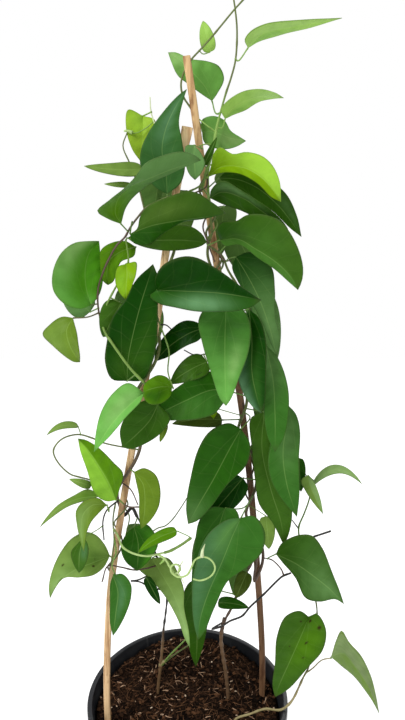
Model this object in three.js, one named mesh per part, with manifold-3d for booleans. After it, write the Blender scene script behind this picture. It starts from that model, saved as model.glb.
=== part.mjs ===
// Tiliacora triandra, a climbing vine, in a round nursery pot with two bamboo stakes.
// Millimetres, +Z up. Origin: centre of the pot's flat underside. The front of the plant faces -Y.

import * as THREE from 'three';
import { mergeVertices } from 'three/addons/utils/BufferGeometryUtils.js';
import Module from 'manifold-3d';

const wasm = await Module();
wasm.setup();

// Driving dimensions of the pot and the soil

const POT_HEIGHT = 200;
const POT_FOOT_RADIUS = 84;
const POT_WALL_TOP_RADIUS = 104;
const POT_WALL = 2;
const POT_FLOOR = 2.6;
const RIM_RADIUS = 108;
const RIM_BAND_HEIGHT = 11;
const RIM_LIP = 5;
const RIM_ROUNDING = 0.9;
const FOOT_ROUNDING = 2;
const UNDER_BAND = 3;
const DRAIN_HOLES = 6;
const DRAIN_HOLE_RADIUS = 6;
const DRAIN_HOLE_RING = 62;
const ROUND_SIDES = 36;
const SOIL_LEVEL = 187;
const SOIL_HEAP = 9;
const SEAT_GAP = 0.3;
const HOLE_GAP = 0.45;

// Driving dimensions of the stakes, stems and leaves

const STAKE_WIDTH = 7;
const STAKE_DEPTH = 4.6;
const STAKE_FOOT_Z = 60;
const STAKE_STEPS = 12;
const STEM_WOOD_RADIUS = 2.1;
const TRAILING_RADIUS = 1.25;
const STEM_TWINE_RADIUS = 1.5;
const STEM_TOP_RADIUS = 0.95;
const TWIG_RADIUS = 0.7;
const WOOD_SIDES = 6;
const STEM_SIDES = 5;
const TWIG_SIDES = 4;
const HOLE_SIDES = 8;
const WOOD_STEP = 12;
const STEM_STEP = 9;
const LINK_SHARE = 0.96;
const PETIOLE_HALF = 0.7;
const SMALL_PETIOLE_HALF = 0.55;
const ROOT_DEPTH = 26;
const TWINE_REACH = 7.2;
const BLADE_THICKNESS = 0.8;
const BLADE_WIDEST = 0.29;
const BLADE_TIP_POWER = 0.86;
const BLADE_BASE_OPEN = 0.03;
const BLADE_DROOP = 0.1;
const PETIOLE_STEP = 14;
const PETIOLE_NECK = 2.5;
const ROOT_SINK = 0.7;
const SMALL_LEAF = 18;
const SMALL_BLADE_STATIONS = [0, 0.14, 0.45, 0.8];
const BLADE_STATIONS = [0, 0.1, 0.32, 0.62, 0.88];
const TRACED_STATIONS = [0.02, 0.13, 0.31, 0.52, 0.73, 0.91];
const SHORT_TRACED_STATIONS = [0.03, 0.2, 0.48, 0.78];
const SHORT_BLADE = 52;
const TRACED_END = 0.96;

// The front view that stems and leaves are placed in: a point [u, v, y] lies on the sight line
// through the picture point u, v of a 405 x 720 frame, at depth y.

const EYE = new THREE.Vector3(16, -556, 701);
const EYE_PITCH = THREE.MathUtils.degToRad(13);
const FRAME_FOCAL = 600;
const FRAME_CENTRE = [202.5, 360];

function seen([u, v, y]) {
  const right = (u - FRAME_CENTRE[0]) / FRAME_FOCAL;
  const up = (FRAME_CENTRE[1] - v) / FRAME_FOCAL;
  const sight = new THREE.Vector3(
    right,
    Math.cos(EYE_PITCH) + up * Math.sin(EYE_PITCH),
    up * Math.cos(EYE_PITCH) - Math.sin(EYE_PITCH),
  );
  return sight.multiplyScalar((y - EYE.y) / sight.y).add(EYE);
}

// Stakes: centre lines from the top down to the soil

const STAKE_LEFT = [
  [187.5, 127, -14], [165, 258, -19], [158, 312, -21], [132, 450, -26], [114, 562, -29], [109, 610, -30],
  [108, 722, -31],
];
const STAKE_RIGHT = [
  [186.5, 56, 0], [193, 100, 1], [198.5, 140, 2], [213, 240, 5], [226, 318, 7], [242, 410, 9], [257, 565, 12],
  [262, 692, 14.6],
];
const STAKE_LEFT_FOOT = new THREE.Vector3(-72, -26, STAKE_FOOT_Z);
const STAKE_RIGHT_FOOT = new THREE.Vector3(72, 15, STAKE_FOOT_Z);

// Stems: each has a radius in mm and a route of [u, v, y]. A twine winds up a stake.

const LEFT_WOOD = [
  [158, 690, 15], [160, 670, 12], [162, 650, 9], [163.5, 630, 6], [166, 610, 2], [167, 597, 0],
  [163, 575, -6], [154, 550, -13], [143, 527, -20], [132, 508, -24],
];
const LEFT_TWINE = { from: 0.5, to: 0.085, turns: 3.25, phase: 0.2 };
const LEFT_STEMS = [
  [STEM_TOP_RADIUS, [
    [172, 196, -19], [168, 180, -13], [163, 155, -8], [155, 125, -4], [151, 112, -2], [150, 97, -2],
  ]],
  [STEM_TOP_RADIUS, [
    [176, 196, -20], [168, 197, -22], [160, 200.5, -21], [146, 208, -21], [138, 217, -22], [130, 228, -24],
    [125, 237, -26], [117, 245, -26], [110, 257, -25], [104, 270, -25], [98, 290, -25], [99, 313, -27],
    [103, 325, -31],
  ]],
  [1.15, [
    [101, 316, -29], [105, 332, -40], [112, 343, -48], [130, 368, -52], [146, 385, -52], [152, 394, -38],
    [148, 400, -30],
  ]],
  [TWIG_RADIUS, [
    [103, 322, -31], [107, 306, -30], [112, 297, -30], [118, 285, -29], [126, 262, -28],
    [126, 240, -26],
  ]],
  [TWIG_RADIUS, [[145, 208, -21], [140, 192, -16], [130, 164, -12], [123, 146, -12], [127, 133, -12]]],
  [TWIG_RADIUS, [
    [161, 306, -26], [160, 325, -29], [165, 338, -30], [169, 352, -30], [168, 372, -31],
    [173, 388, -32],
  ]],
  [TWIG_RADIUS, [[160, 323, -29], [166, 325, -28], [171, 329, -26]]],
  [TWIG_RADIUS, [
    [128, 447, -34], [104, 443, -42], [92, 438, -46], [78, 434.5, -50], [62, 439, -52], [53.5, 450, -52],
    [57, 461, -50], [70, 474, -46], [79, 477, -44], [90, 480, -42], [104, 490, -40], [119, 500, -36],
  ]],
  [TWIG_RADIUS, [
    [150, 536, -17], [158, 528, -18], [165, 526, -18], [172, 520, -17], [180, 509, -15],
    [187, 498, -12],
  ]],
  [TWIG_RADIUS, [[160, 666, 11], [170, 655, 8], [178, 647, 5], [187, 638, 2]]],
  [TWIG_RADIUS, [[160, 668, 11], [174, 655, 10], [189, 645, 7]]],
  [TWIG_RADIUS, [[117, 504, -34], [128, 506.5, -38], [139, 507, -40]]],
  [TWIG_RADIUS, [[125, 488, -36], [131, 490, -40], [138, 505, -42]]],
  [TWIG_RADIUS, [[119, 500, -37], [107, 510, -42], [103, 521, -42], [104, 540, -40]]],
  [TWIG_RADIUS, [
    [160, 566, -11], [148, 568, -22], [135, 570, -30], [120, 567, -40], [108, 566, -42],
    [102, 582, -42],
  ]],
  [TWIG_RADIUS, [[166, 590, -3], [150, 587, -14], [140, 582, -20], [131, 581, -24]]],
  [1.0, [
    [116, 528, -37], [118, 536, -44], [122, 546, -48], [130, 552, -51], [145, 556, -54], [158, 554, -57],
    [170, 551, -60], [181, 545, -62], [190, 539, -60],
  ]],
  [0.9, [
    [158, 555, -57], [165, 559, -60], [170, 567, -62], [175, 573.5, -64], [180, 570, -66], [178, 564.8, -67],
    [172, 565.5, -67], [171, 571, -67], [178, 577, -69], [187, 575, -71], [192, 566, -72], [195, 560, -72],
    [201, 557, -72], [208, 558, -72], [213.5, 563, -72], [215, 569, -72], [212, 575, -72], [207, 578.5, -72],
    [200, 580.5, -72], [193, 579, -72],
  ]],
  [0.8, [[198, 558, -72], [202, 551, -72], [204.5, 545, -71]]],
];

const RIGHT_WOOD = [
  [228, 697, 7.4], [226, 675, 7], [222, 650, 6], [221, 640, 6], [222, 630, 5], [225, 620, 4], [233, 605, 2],
  [240, 585, 1], [248, 570, 1], [257, 553, 2.5],
];
const RIGHT_TWINE = { from: 0.652, to: 0.19, turns: 4.1, phase: -0.35 };
const RIGHT_STEMS = [
  [1.2, [[205, 189, -5], [208, 172, -5], [213, 150, -5], [216, 131, -4], [219, 118, -4]]],
  [STEM_TOP_RADIUS, [
    [216, 131, -4], [219, 118, -4], [226, 93, -4], [231, 78, -4], [235.5, 60, -4], [237, 30, -4],
    [235, 8, -4],
    [232, -10, -4],
  ]],
  [STEM_TOP_RADIUS, [
    [212, 152, -5], [207, 140, 8], [198, 120, 9], [190, 107, 8], [183, 96, 4], [181, 85, 2], [184, 72, 6],
    [191, 60, 6], [200, 50, 3], [210, 39, 0], [220, 27, -6], [234, 10, -10], [243, 0, -10], [249, -7, -10],
  ]],
  [1.1, [
    [217, 246, 2], [222, 256, -1], [228, 270, -3], [240, 290, -3], [254, 320, 0], [264, 348, 4],
    [274, 380, 6],
    [282, 410, 6], [283, 432, 6], [279, 455, 6],
  ]],
  [TWIG_RADIUS, [[251, 330, 1], [240, 345, -6], [215, 352, -12], [195, 355, -14], [184, 350, -16]]],
  [0.9, [
    [223, 621, 4], [212, 629, 2], [222, 626, -2], [230, 621, -4], [242, 616, -4], [250, 607, -4],
    [262, 596, -2],
    [270, 588, -2], [278, 580, -1], [283, 576, 0], [291, 573, 2],
  ]],
  [TWIG_RADIUS, [[283, 577, 0], [281, 569, 1], [272, 560, 2], [264, 558, 2]]],
];

const TRAILING_WOOD = [
  [235, 720, -24], [250, 714, -24], [265, 709, -24], [280, 710, -24.5], [287, 706, -22.5], [293, 699, -20],
  [303, 678, -13], [309, 666, -9], [313, 640, 2], [317, 616, 7], [316, 602, 10], [310, 580, 12],
  [303, 556, 12],
];
const TRAILING_STEMS = [
  [STEM_TOP_RADIUS, [
    [303, 556, 12], [299, 536, 12], [299, 526, 12], [304, 514, 12], [309, 500, 12], [313, 480, 12],
  ]],
  [TWIG_RADIUS, [[303, 672, -12], [313, 668, -14], [322, 660, -17], [331, 658, -18]]],
  [TWIG_RADIUS, [[299, 528, 12], [292, 520, 11]]],
  [TWIG_RADIUS, [[300, 545, 12], [306, 540, 12], [313, 537, 11], [322, 534, 10], [331, 531, 9]]],
];

// Leaves: blade base and tip as [u, v, y], flat width in mm. Options: roll turns the face towards
// the leaf's right-hand edge (degrees), arch and sway bow the midrib out of and across the face (mm),
// fold lifts the halves (degrees), peak is where the blade is widest and lobe sweeps its base corners
// back (shares of its length), and via lists the petiole's points between the stem and the blade.
// A traced leaf lists the picture points [u, v] of its midrib and of its two edges between base and tip
// in place of its width, sway, peak and lobe; right is the edge on the right of the way to the tip.

const LEFT_LEAVES = [
  {
    base: [143, 116, 4], tip: [141, 162, 2], wide: 34,
    mid: [[143, 130], [142, 146]],
    left: [[155, 120], [152, 138], [147, 153]],
    right: [[128, 110], [126, 128], [132, 149]],
  },
  {
    base: [167, 194, -23], tip: [187, 89, -21], wide: 38,
    mid: [[166, 172], [162, 150], [166, 128], [176, 106]],
    left: [[155, 187], [141, 168], [141, 150], [150, 130], [168, 106], [181, 93]],
    right: [[180, 184], [185, 168], [182, 140], [179, 122], [184, 98]],
  },
  {
    base: [130, 234, -39], tip: [226, 213, -34], wide: 40, roll: -30, arch: 9,
    via: [[132, 222, -33]],
    mid: [[150, 226], [175, 221], [205, 217]],
    left: [[137, 229], [140, 217], [148, 206], [170, 196], [193, 192], [212, 202]],
    right: [[133, 242], [148, 245], [163, 234], [182, 222], [203, 219]],
  },
  {
    base: [127, 238, -29], tip: [207, 242, -27], wide: 34, roll: -22, arch: 5,
    mid: [[150, 240], [180, 240]],
    left: [[140, 231], [165, 226], [190, 226], [202, 234]],
    right: [[138, 245], [160, 250], [185, 250], [201, 246]],
  },
  {
    base: [157, 290, -46], tip: [261, 300, -58], wide: 60, roll: -28, arch: 6, fold: 20,
    via: [[164, 288, -37]],
    mid: [[185, 291], [220, 293], [247, 297]],
    left: [[155, 279], [163, 265], [180, 257], [196, 258], [222, 272], [243, 288]],
    right: [[150, 296], [159, 304], [178, 308], [206, 312], [235, 311], [253, 306]],
  },
  {
    base: [121, 224, -40], tip: [201, 160, -38], wide: 48, roll: -35, arch: 9,
    mid: [[115, 213], [118, 199], [128, 188], [150, 178], [175, 168]],
    left: [
      [108, 219], [97, 211], [110, 200], [123, 190], [135, 177], [145, 163], [165, 155], [184, 152],
      [196, 156],
    ],
    right: [[126, 208], [133, 197], [148, 185], [168, 175], [187, 166]],
  },
  { base: [143, 169, -16], tip: [84, 166, -30], wide: 15, roll: 40, arch: 1, sway: -3 },
  { base: [131, 185, -14], tip: [104, 184, -14], wide: 5 },
  {
    base: [91, 305, -28], tip: [99, 241, -8], wide: 55, roll: -32, fold: 22,
    mid: [[86, 288], [85, 270], [89, 253]],
    left: [[80, 309], [66, 305], [54, 291], [53, 272], [61, 253], [74, 243], [89, 241]],
    right: [[98, 297], [102.5, 282], [102, 266], [100, 251]],
  },
  {
    base: [136, 247, -18], tip: [108, 285, -18], wide: 34,
    mid: [[122, 251], [110, 260], [107, 273]],
    left: [[134, 256], [121, 262], [117, 272], [113, 282]],
    right: [[125, 241], [111, 243], [101, 250], [100, 264], [103, 281]],
  },
  {
    base: [126, 264, -31], tip: [126, 300, -37], wide: 18,
    mid: [[127, 275], [126, 288]],
    left: [[136, 262], [136, 274], [132, 286], [128, 296]],
    right: [[118, 267], [115, 280], [119, 292]],
  },
  { base: [90, 312, -10], tip: [62, 287, 2], wide: 26 },
  {
    base: [73, 318, -30], tip: [80, 362, -38], wide: 48, roll: 42, fold: 30,
    via: [[88, 317, -30]],
    mid: [[67, 330], [69, 343], [75, 355]],
    left: [[76, 330], [78, 343], [80, 355]],
    right: [[62, 317], [50, 325], [43, 334], [53, 346], [64, 356], [74, 362]],
  },
  { base: [121, 303, -31], tip: [103, 337, -33], wide: 26 },
  {
    base: [127, 381, -42], tip: [153, 264, -35], wide: 46, arch: 3,
    mid: [[128, 360], [134, 330], [142, 300], [149, 278]],
    left: [[112, 379], [105, 362], [107, 340], [112, 318], [126, 299], [136, 280]],
    right: [[143, 380], [153, 361], [157, 340], [158, 305], [158, 277]],
  },
  {
    base: [144, 393, -54], tip: [94, 452, -72], wide: 30, roll: 18, arch: 7, fold: 18,
    mid: [[135, 400], [115, 420], [103, 437]],
    left: [[141, 401], [127, 416], [110, 436], [99, 447]],
    right: [[128, 383], [113, 393], [102, 410], [96, 432]],
  },
  {
    base: [172, 387, -36], tip: [143, 392, -60], wide: 26, roll: 20,
    mid: [[160, 387], [151, 389]],
    left: [[170, 396], [160, 404], [150, 404], [144, 398]],
    right: [[168, 378], [159, 375], [150, 379], [144, 385]],
  },
  {
    base: [158, 404, -38], tip: [122, 447, -46], wide: 36,
    mid: [[150, 420], [136, 435]],
    left: [[170, 418], [161, 433], [143, 445], [130, 449]],
    right: [[143, 401], [128, 413], [120, 430]],
  },
  {
    base: [116, 500, -44], tip: [78, 438.5, -46], wide: 29, roll: -10,
    mid: [[108, 482], [98, 465], [87, 449]],
    left: [[106, 501], [95, 494], [87, 470], [80, 450]],
    right: [[120, 488], [123, 473], [114, 463], [99, 448], [86, 440]],
  },
  { base: [91, 486, -42], tip: [69, 479, -44], wide: 8, fold: 5 },
  {
    base: [101, 496, -46], tip: [40, 527, -66], wide: 14, roll: 50,
    mid: [[78, 499], [58, 509]],
    left: [[88, 500], [67, 507], [51, 518]],
    right: [[88, 489], [73, 496], [57, 506], [46, 518]],
  },
  {
    base: [107, 505, -57], tip: [84, 552, -70], wide: 20, roll: 12, arch: 6,
    via: [[109, 512, -48]],
    mid: [[93, 505], [84, 513], [81, 526]],
    left: [[100, 512], [92, 521], [87, 532], [85, 544]],
    right: [[98, 498], [84, 501], [76, 511], [77, 525], [81, 543]],
  },
  {
    base: [84, 537, -58], tip: [79, 573, -64], wide: 16, arch: 3,
    via: [[97, 530, -48]],
    mid: [[80, 551], [79, 563]],
    left: [[88, 545], [88, 557], [83, 569]],
    right: [[78, 543], [71, 552], [74, 565]],
  },
  {
    base: [110, 556, -38], tip: [50, 598, -50], wide: 36, roll: 22, arch: 8,
    mid: [[95, 562], [75, 570], [59, 582]],
    left: [[104, 567], [94, 575], [80, 577.5], [64, 578], [56, 587]],
    right: [[105, 545], [96, 535], [86, 532], [72, 538], [60, 553], [52, 572], [49, 588]],
  },
  {
    base: [113, 575, -44], tip: [113, 636, -48], wide: 24, roll: -8,
    mid: [[118, 592], [116, 612]],
    left: [[122, 574], [131, 584], [131, 598], [125, 616], [118, 629]],
    right: [[110, 585], [110, 605], [110, 623]],
  },
  { base: [146, 577, -26], tip: [160, 604, -28], wide: 10 },
  {
    base: [134, 472, -40], tip: [141, 529, -42], wide: 22,
    mid: [[143, 484], [145, 500], [144, 516]],
    left: [[144, 468], [155, 474], [160, 487], [159, 506], [150, 521]],
    right: [[136, 482], [139, 496], [139, 515]],
  },
  {
    base: [134, 527, -32], tip: [137, 571, -36], wide: 34,
    mid: [[138, 542], [138, 558]],
    left: [[146, 524], [154, 532], [158, 545], [148, 562]],
    right: [[126, 534], [121, 548], [126, 562]],
  },
  { base: [177, 531, -60], tip: [138, 553, -60], wide: 13, roll: 35, via: [[188, 536, -60]] },
  {
    base: [152, 558, -12], tip: [190, 648, -16], wide: 26,
    mid: [[164, 578], [175, 598], [184, 624]],
    left: [[168, 558], [178, 573], [184, 590], [184, 607], [189, 632]],
    right: [[143, 568], [156, 584], [168, 599], [178, 620], [185, 639]],
  },
  { base: [78, 426, -50], tip: [47, 435, -56], wide: 10, roll: 50, via: [[80, 432, -50]] },
];

const RIGHT_LEAVES = [
  { base: [210, 52, 8], tip: [203, 21, 10], wide: 13, via: [[203, 54, 6]] },
  {
    base: [212, 101, 19], tip: [168, 52.5, 21], wide: 44, roll: 12, arch: 3, fold: 16,
    via: [[217, 114, -3]],
    mid: [[205, 87], [190, 70], [177, 58]],
    left: [[203, 95], [188, 84], [178, 76], [171, 61]],
    right: [[217, 94], [224, 79], [219, 66], [207, 61], [190, 59], [176, 52.5]],
  },
  {
    base: [248, 48, -6], tip: [342, 18, -16], wide: 26, roll: -62, arch: 2, fold: 24,
    via: [[238, 61, -4]],
    mid: [[262, 34], [290, 27], [320, 22]],
    left: [[244.5, 40], [250, 32], [264, 25], [282, 21], [312, 19.5]],
    right: [[260, 41], [280, 35], [305, 29]],
  },
  {
    base: [225, 119, -6], tip: [284, 98, -8], wide: 20, roll: -25, arch: 6,
    via: [[222, 128, -5]],
    mid: [[232, 109], [247, 100], [264, 96]],
    left: [[221, 110], [230, 99], [244, 91], [260, 89], [276, 93]],
    right: [[233, 115], [246, 110], [259, 102], [272, 99]],
  },
  {
    base: [202, 131, 8], tip: [246, 141, 8], wide: 34, fold: 5,
    mid: [[214, 132], [230, 138]],
    left: [[202, 120], [213, 116], [224, 120], [231, 131], [240, 137]],
    right: [[204, 142], [214, 148], [228, 149], [238, 146]],
  },
  {
    base: [208, 177, -10], tip: [281, 202, -34], wide: 38, roll: -8, arch: 13,
    mid: [[221, 167], [242, 167], [261, 177], [273, 190]],
    left: [
      [211, 166], [214, 153], [220, 147], [233, 154], [246, 152], [262, 156], [273, 166], [280, 183],
    ],
    right: [[221, 173], [240, 174], [258, 184], [271, 197]],
  },
  {
    base: [194, 145, -26], tip: [195, 180, -27], wide: 17, arch: 3,
    via: [[203, 149, -14]],
    mid: [[194, 157], [195, 169]],
    left: [[201, 153], [205, 164], [200, 175]],
    right: [[186, 146], [185, 160], [189, 174]],
  },
  {
    base: [219, 178, -6], tip: [301.5, 237, -14], wide: 34, roll: -22, arch: 6,
    via: [[209, 187, -6]],
    mid: [[236, 179], [256, 187], [276, 203], [291, 221]],
    left: [[227, 171], [248, 172], [270, 181], [287, 195], [297, 216]],
    right: [[228, 185], [247, 196], [270, 209], [290, 228]],
  },
  {
    base: [210, 198, -20], tip: [288, 229, -38], wide: 28, roll: -35, arch: 8,
    mid: [[222, 192], [243, 198], [262, 211], [276, 221]],
    left: [[211, 190], [222, 181], [240, 190], [257, 200], [272, 211], [284, 223]],
    right: [[220, 203], [240, 210], [262, 222], [277, 228]],
  },
  {
    base: [220, 240, -16], tip: [298, 290, -32], wide: 48, roll: -22, arch: 12,
    mid: [[238, 239], [256, 249], [276, 262], [291, 277]],
    left: [
      [217, 230], [222, 222], [236, 221], [248, 214.5], [265, 215], [281, 222], [296, 243], [303, 266],
      [302, 281],
    ],
    right: [[225, 246], [240, 245], [258, 258], [274, 269], [289, 282]],
  },
  {
    base: [236, 257, -8], tip: [277, 357, -16], wide: 37,
    via: [[228, 259, -3]],
    mid: [[247, 275], [261, 303], [271, 332]],
    left: [[250, 252], [271, 266], [275, 290], [275, 315], [280, 338]],
    right: [[232, 266], [237, 280], [250, 300], [262, 323], [271, 344]],
  },
  { base: [256, 290, 6], tip: [277, 360, 3], wide: 30 },
  {
    base: [205, 328, -16], tip: [154, 362, -12], wide: 24, roll: 25,
    mid: [[190, 333], [170, 346]],
    left: [[200, 339], [186, 346], [168, 357]],
    right: [[196, 322], [184, 321], [170, 330], [157, 347]],
  },
  { base: [207, 362, -16], tip: [170, 384, -22], wide: 24, roll: 20 },
  {
    base: [226, 309, -27], tip: [226, 406, -46], wide: 47,
    mid: [[225, 335], [225, 372]],
    left: [[241, 308], [250, 323], [249, 350], [239, 378], [231, 399]],
    right: [[208, 306], [198.5, 320], [202, 342], [211, 373], [220, 399]],
  },
  {
    base: [249, 309, -24], tip: [262, 413, -34], wide: 36, roll: -15,
    via: [[235, 314, -15]],
    mid: [[252, 340], [252, 372], [257, 397]],
    left: [[259, 318], [266, 340], [266, 370], [265, 398]],
    right: [[240, 328], [239, 352], [238, 378], [244, 395], [255, 409]],
  },
  {
    base: [266, 345, -12], tip: [275, 452, -30], wide: 32,
    via: [[258, 348, -4]],
    mid: [[273, 380], [275, 415]],
    left: [[278, 358], [287, 382], [289, 408], [284, 437]],
    right: [[262, 360], [265, 387], [264, 415], [268, 438]],
  },
  {
    base: [264, 412, 0], tip: [284, 546, -14], wide: 40,
    mid: [[262, 450], [271, 490], [281, 522]],
    left: [[269, 438], [283, 475], [292, 508], [290, 530]],
    right: [[251, 418], [252, 450], [255, 480], [259, 504], [272, 522]],
  },
  {
    base: [287, 404, 0], tip: [297, 517, -22], wide: 30,
    mid: [[286, 425], [283, 455], [287, 485]],
    left: [[296, 414], [300, 430], [299, 460], [299.5, 495]],
    right: [[280, 412], [274, 430], [268, 458], [271, 480], [281, 498]],
  },
  {
    base: [232, 392, -18], tip: [150, 417, -38], wide: 40, roll: 18,
    mid: [[212, 390], [185, 401], [164, 411]],
    left: [[223, 404], [214, 414], [198, 419], [175, 420.5], [159, 420]],
    right: [[221, 376], [206, 371], [190, 379], [171, 392], [157, 406]],
  },
  { base: [222, 420, -10], tip: [172, 424, -16], wide: 18, roll: 25 },
  {
    base: [241, 429, -14], tip: [188, 524, -38], wide: 44,
    via: [[250, 417, -2]],
    mid: [[229, 450], [213, 480], [199, 504]],
    left: [[250, 444], [247, 464], [228, 484], [211, 507], [197, 521]],
    right: [[229, 423], [210, 431], [198, 450], [190, 480], [186, 508]],
  },
  { base: [243, 478, -8], tip: [201, 527, -16], wide: 26 },
  {
    base: [225, 508, -25], tip: [195, 610, -30], wide: 42,
    via: [[243, 508, -13], [233, 509, -22]],
    mid: [[216, 535], [205, 572]],
    left: [[236, 510], [240, 530], [227, 562], [207, 594]],
    right: [[212, 507], [200, 519], [195, 540], [192, 570], [192, 596]],
  },
  {
    base: [241, 518, -42], tip: [198, 640, -62], wide: 54, arch: 8,
    via: [[248, 504, -18]],
    mid: [[233, 535], [222, 562], [208, 594], [200, 620]],
    left: [[254, 516], [265, 532], [262, 552], [246, 568], [228, 581], [214, 609], [205, 631]],
    right: [[229, 519], [212, 530], [202, 545], [194, 572], [192, 600], [194, 624]],
  },
  {
    base: [202, 577, 9], tip: [196, 667, 4], wide: 30,
    via: [[214, 588, 6]],
    mid: [[196, 605], [197, 640]],
    left: [[210, 592], [209, 615], [203, 647]],
    right: [[188, 584], [182, 603], [186, 631], [191, 655]],
  },
  {
    base: [276, 554, -6], tip: [344, 604, -28], wide: 50, roll: -22, arch: 7,
    via: [[268, 558, -1]],
    mid: [[295, 563], [315, 577], [331, 590]],
    left: [[281, 544], [298, 535], [312, 535.5], [322, 548], [331, 569], [339, 589]],
    right: [[283, 563], [296, 579], [306, 598], [320, 602], [335, 599]],
  },
  { base: [266, 516, -6], tip: [269, 549, -8], wide: 16 },
  { base: [247, 572, -8], tip: [236, 598, -12], wide: 16 },
  { base: [218, 603, -6], tip: [249, 608, -8], wide: 13, roll: -20 },
];

const TRAILING_LEAVES = [
  { base: [299, 458, 14], tip: [301, 492, 12], wide: 12, via: [[306, 475, 14]] },
  { base: [312, 476, 4], tip: [323, 514, -2], wide: 15 },
  { base: [314, 484, 9], tip: [362, 484, -6], wide: 14, roll: -45, arch: 10, sway: -10 },
  {
    base: [309, 617, -4], tip: [275, 697, -26], wide: 44,
    mid: [[301, 636], [289, 663], [280, 683]],
    left: [[317, 614], [326, 630], [323, 650], [308, 667], [290, 688]],
    right: [[300, 611], [285, 617], [277, 636], [275, 662], [272.5, 685]],
  },
  {
    base: [331, 657, -18], tip: [379, 713, -34], wide: 40, roll: -58, fold: 26,
    mid: [[343, 653], [357, 669], [369, 688]],
    left: [[336, 641], [341, 631], [349, 642], [361, 655], [370, 675], [376, 696]],
    right: [[341, 665], [357, 680], [370, 697]],
  },
];

// Leaves on the far side, which the front view hides: the same, with their faces to the back.

const BACK_FACING = new THREE.Vector3(0, 1, 0.2);

const LEFT_BACK = [
  { base: [160, 168, 4], tip: [152, 226, 26], wide: 34 },
  { base: [176, 190, 0], tip: [182, 243, 26], wide: 32, roll: 12 },
  { base: [138, 285, 2], tip: [124, 352, 26], wide: 36, roll: -12 },
  { base: [146, 300, 0], tip: [138, 374, 22], wide: 36, roll: 10 },
  { base: [150, 388, -4], tip: [146, 440, 16], wide: 30 },
  { base: [138, 520, -8], tip: [134, 566, 8], wide: 26 },
];
const RIGHT_BACK = [
  { base: [218, 170, 13], tip: [254, 212, 32], wide: 32 },
  { base: [222, 202, 18], tip: [212, 252, 42], wide: 32, roll: -10 },
  { base: [236, 234, 10], tip: [266, 300, 32], wide: 36, roll: 8 },
  { base: [230, 312, 20], tip: [228, 386, 44], wide: 38 },
  { base: [256, 318, 16], tip: [264, 398, 36], wide: 36, roll: 10 },
  { base: [270, 384, 18], tip: [276, 462, 38], wide: 36, roll: -8 },
  { base: [262, 440, 20], tip: [280, 516, 40], wide: 34, roll: 6 },
  { base: [232, 436, 20], tip: [212, 508, 42], wide: 38 },
  { base: [214, 384, 14], tip: [180, 414, 26], wide: 26 },
  { base: [244, 520, 24], tip: [234, 596, 46], wide: 36 },
  { base: [210, 530, 14], tip: [198, 600, 28], wide: 28, roll: -8 },
];

// Solids

function manifold(vertProperties, triVerts) {
  return new wasm.Manifold(new wasm.Mesh({ numProp: 3, vertProperties, triVerts }));
}

function solidFrom(geometry) {
  geometry.deleteAttribute('normal');
  geometry.deleteAttribute('uv');
  const merged = mergeVertices(geometry, 1e-4);
  const places = new Float32Array(merged.getAttribute('position').array);
  const corners = new Uint32Array(merged.getIndex().array);
  const solid = manifold(places, corners);
  return solid.volume() > 0 ? solid : manifold(places, corners.reverse());
}

function fused(solids) {
  const whole = solids.reduce((sum, next) => sum.add(next));
  const bodies = whole.decompose();
  return bodies.reduce((largest, body) => (body.volume() > largest.volume() ? body : largest));
}

function geometryFrom(solid) {
  const mesh = solid.getMesh();
  const geometry = new THREE.BufferGeometry();
  geometry.setAttribute('position', new THREE.BufferAttribute(new Float32Array(mesh.vertProperties), 3));
  geometry.setIndex(new THREE.BufferAttribute(new Uint32Array(mesh.triVerts), 1));
  return geometry;
}

function section(sides, radius) {
  const corners = [];
  for (let i = 0; i < sides; i += 1) {
    const turn = (2 * Math.PI * i) / sides;
    corners.push(new THREE.Vector2(radius * Math.cos(turn), radius * Math.sin(turn)));
  }
  return new THREE.Shape(corners);
}

function tube(curve, radius, sides, step) {
  const steps = Math.max(2, Math.round(curve.getLength() / step));
  return solidFrom(new THREE.ExtrudeGeometry(section(sides, radius), {
    steps,
    curveSegments: 1,
    bevelEnabled: false,
    extrudePath: curve,
  }));
}

// Pot and soil

function upright(geometry) {
  return geometry.rotateX(Math.PI / 2);
}

function lathe(profile) {
  return upright(new THREE.LatheGeometry(profile.map(([r, z]) => new THREE.Vector2(r, z)), ROUND_SIDES));
}

function wallRadius(z) {
  return POT_FOOT_RADIUS + (POT_WALL_TOP_RADIUS - POT_FOOT_RADIUS) * (z / POT_HEIGHT);
}

function potSolid() {
  const bandFoot = POT_HEIGHT - RIM_BAND_HEIGHT;
  let pot = solidFrom(lathe([
    [0, 0],
    [POT_FOOT_RADIUS - FOOT_ROUNDING, 0],
    [POT_FOOT_RADIUS, FOOT_ROUNDING],
    [wallRadius(bandFoot), bandFoot],
    [RIM_RADIUS - RIM_ROUNDING, bandFoot],
    [RIM_RADIUS, bandFoot + RIM_ROUNDING],
    [RIM_RADIUS, POT_HEIGHT - RIM_ROUNDING],
    [RIM_RADIUS - RIM_ROUNDING, POT_HEIGHT],
    [RIM_RADIUS - RIM_LIP, POT_HEIGHT],
    [wallRadius(bandFoot) - POT_WALL, bandFoot - UNDER_BAND],
    [POT_FOOT_RADIUS - POT_WALL, POT_FLOOR],
    [0, POT_FLOOR],
  ]));
  for (let i = 0; i < DRAIN_HOLES; i += 1) {
    const turn = (2 * Math.PI * i) / DRAIN_HOLES;
    const hole = upright(new THREE.CylinderGeometry(DRAIN_HOLE_RADIUS, DRAIN_HOLE_RADIUS, 4 * POT_FLOOR, 8));
    hole.translate(DRAIN_HOLE_RING * Math.cos(turn), DRAIN_HOLE_RING * Math.sin(turn), 0);
    pot = pot.subtract(solidFrom(hole));
  }
  return pot;
}

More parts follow.
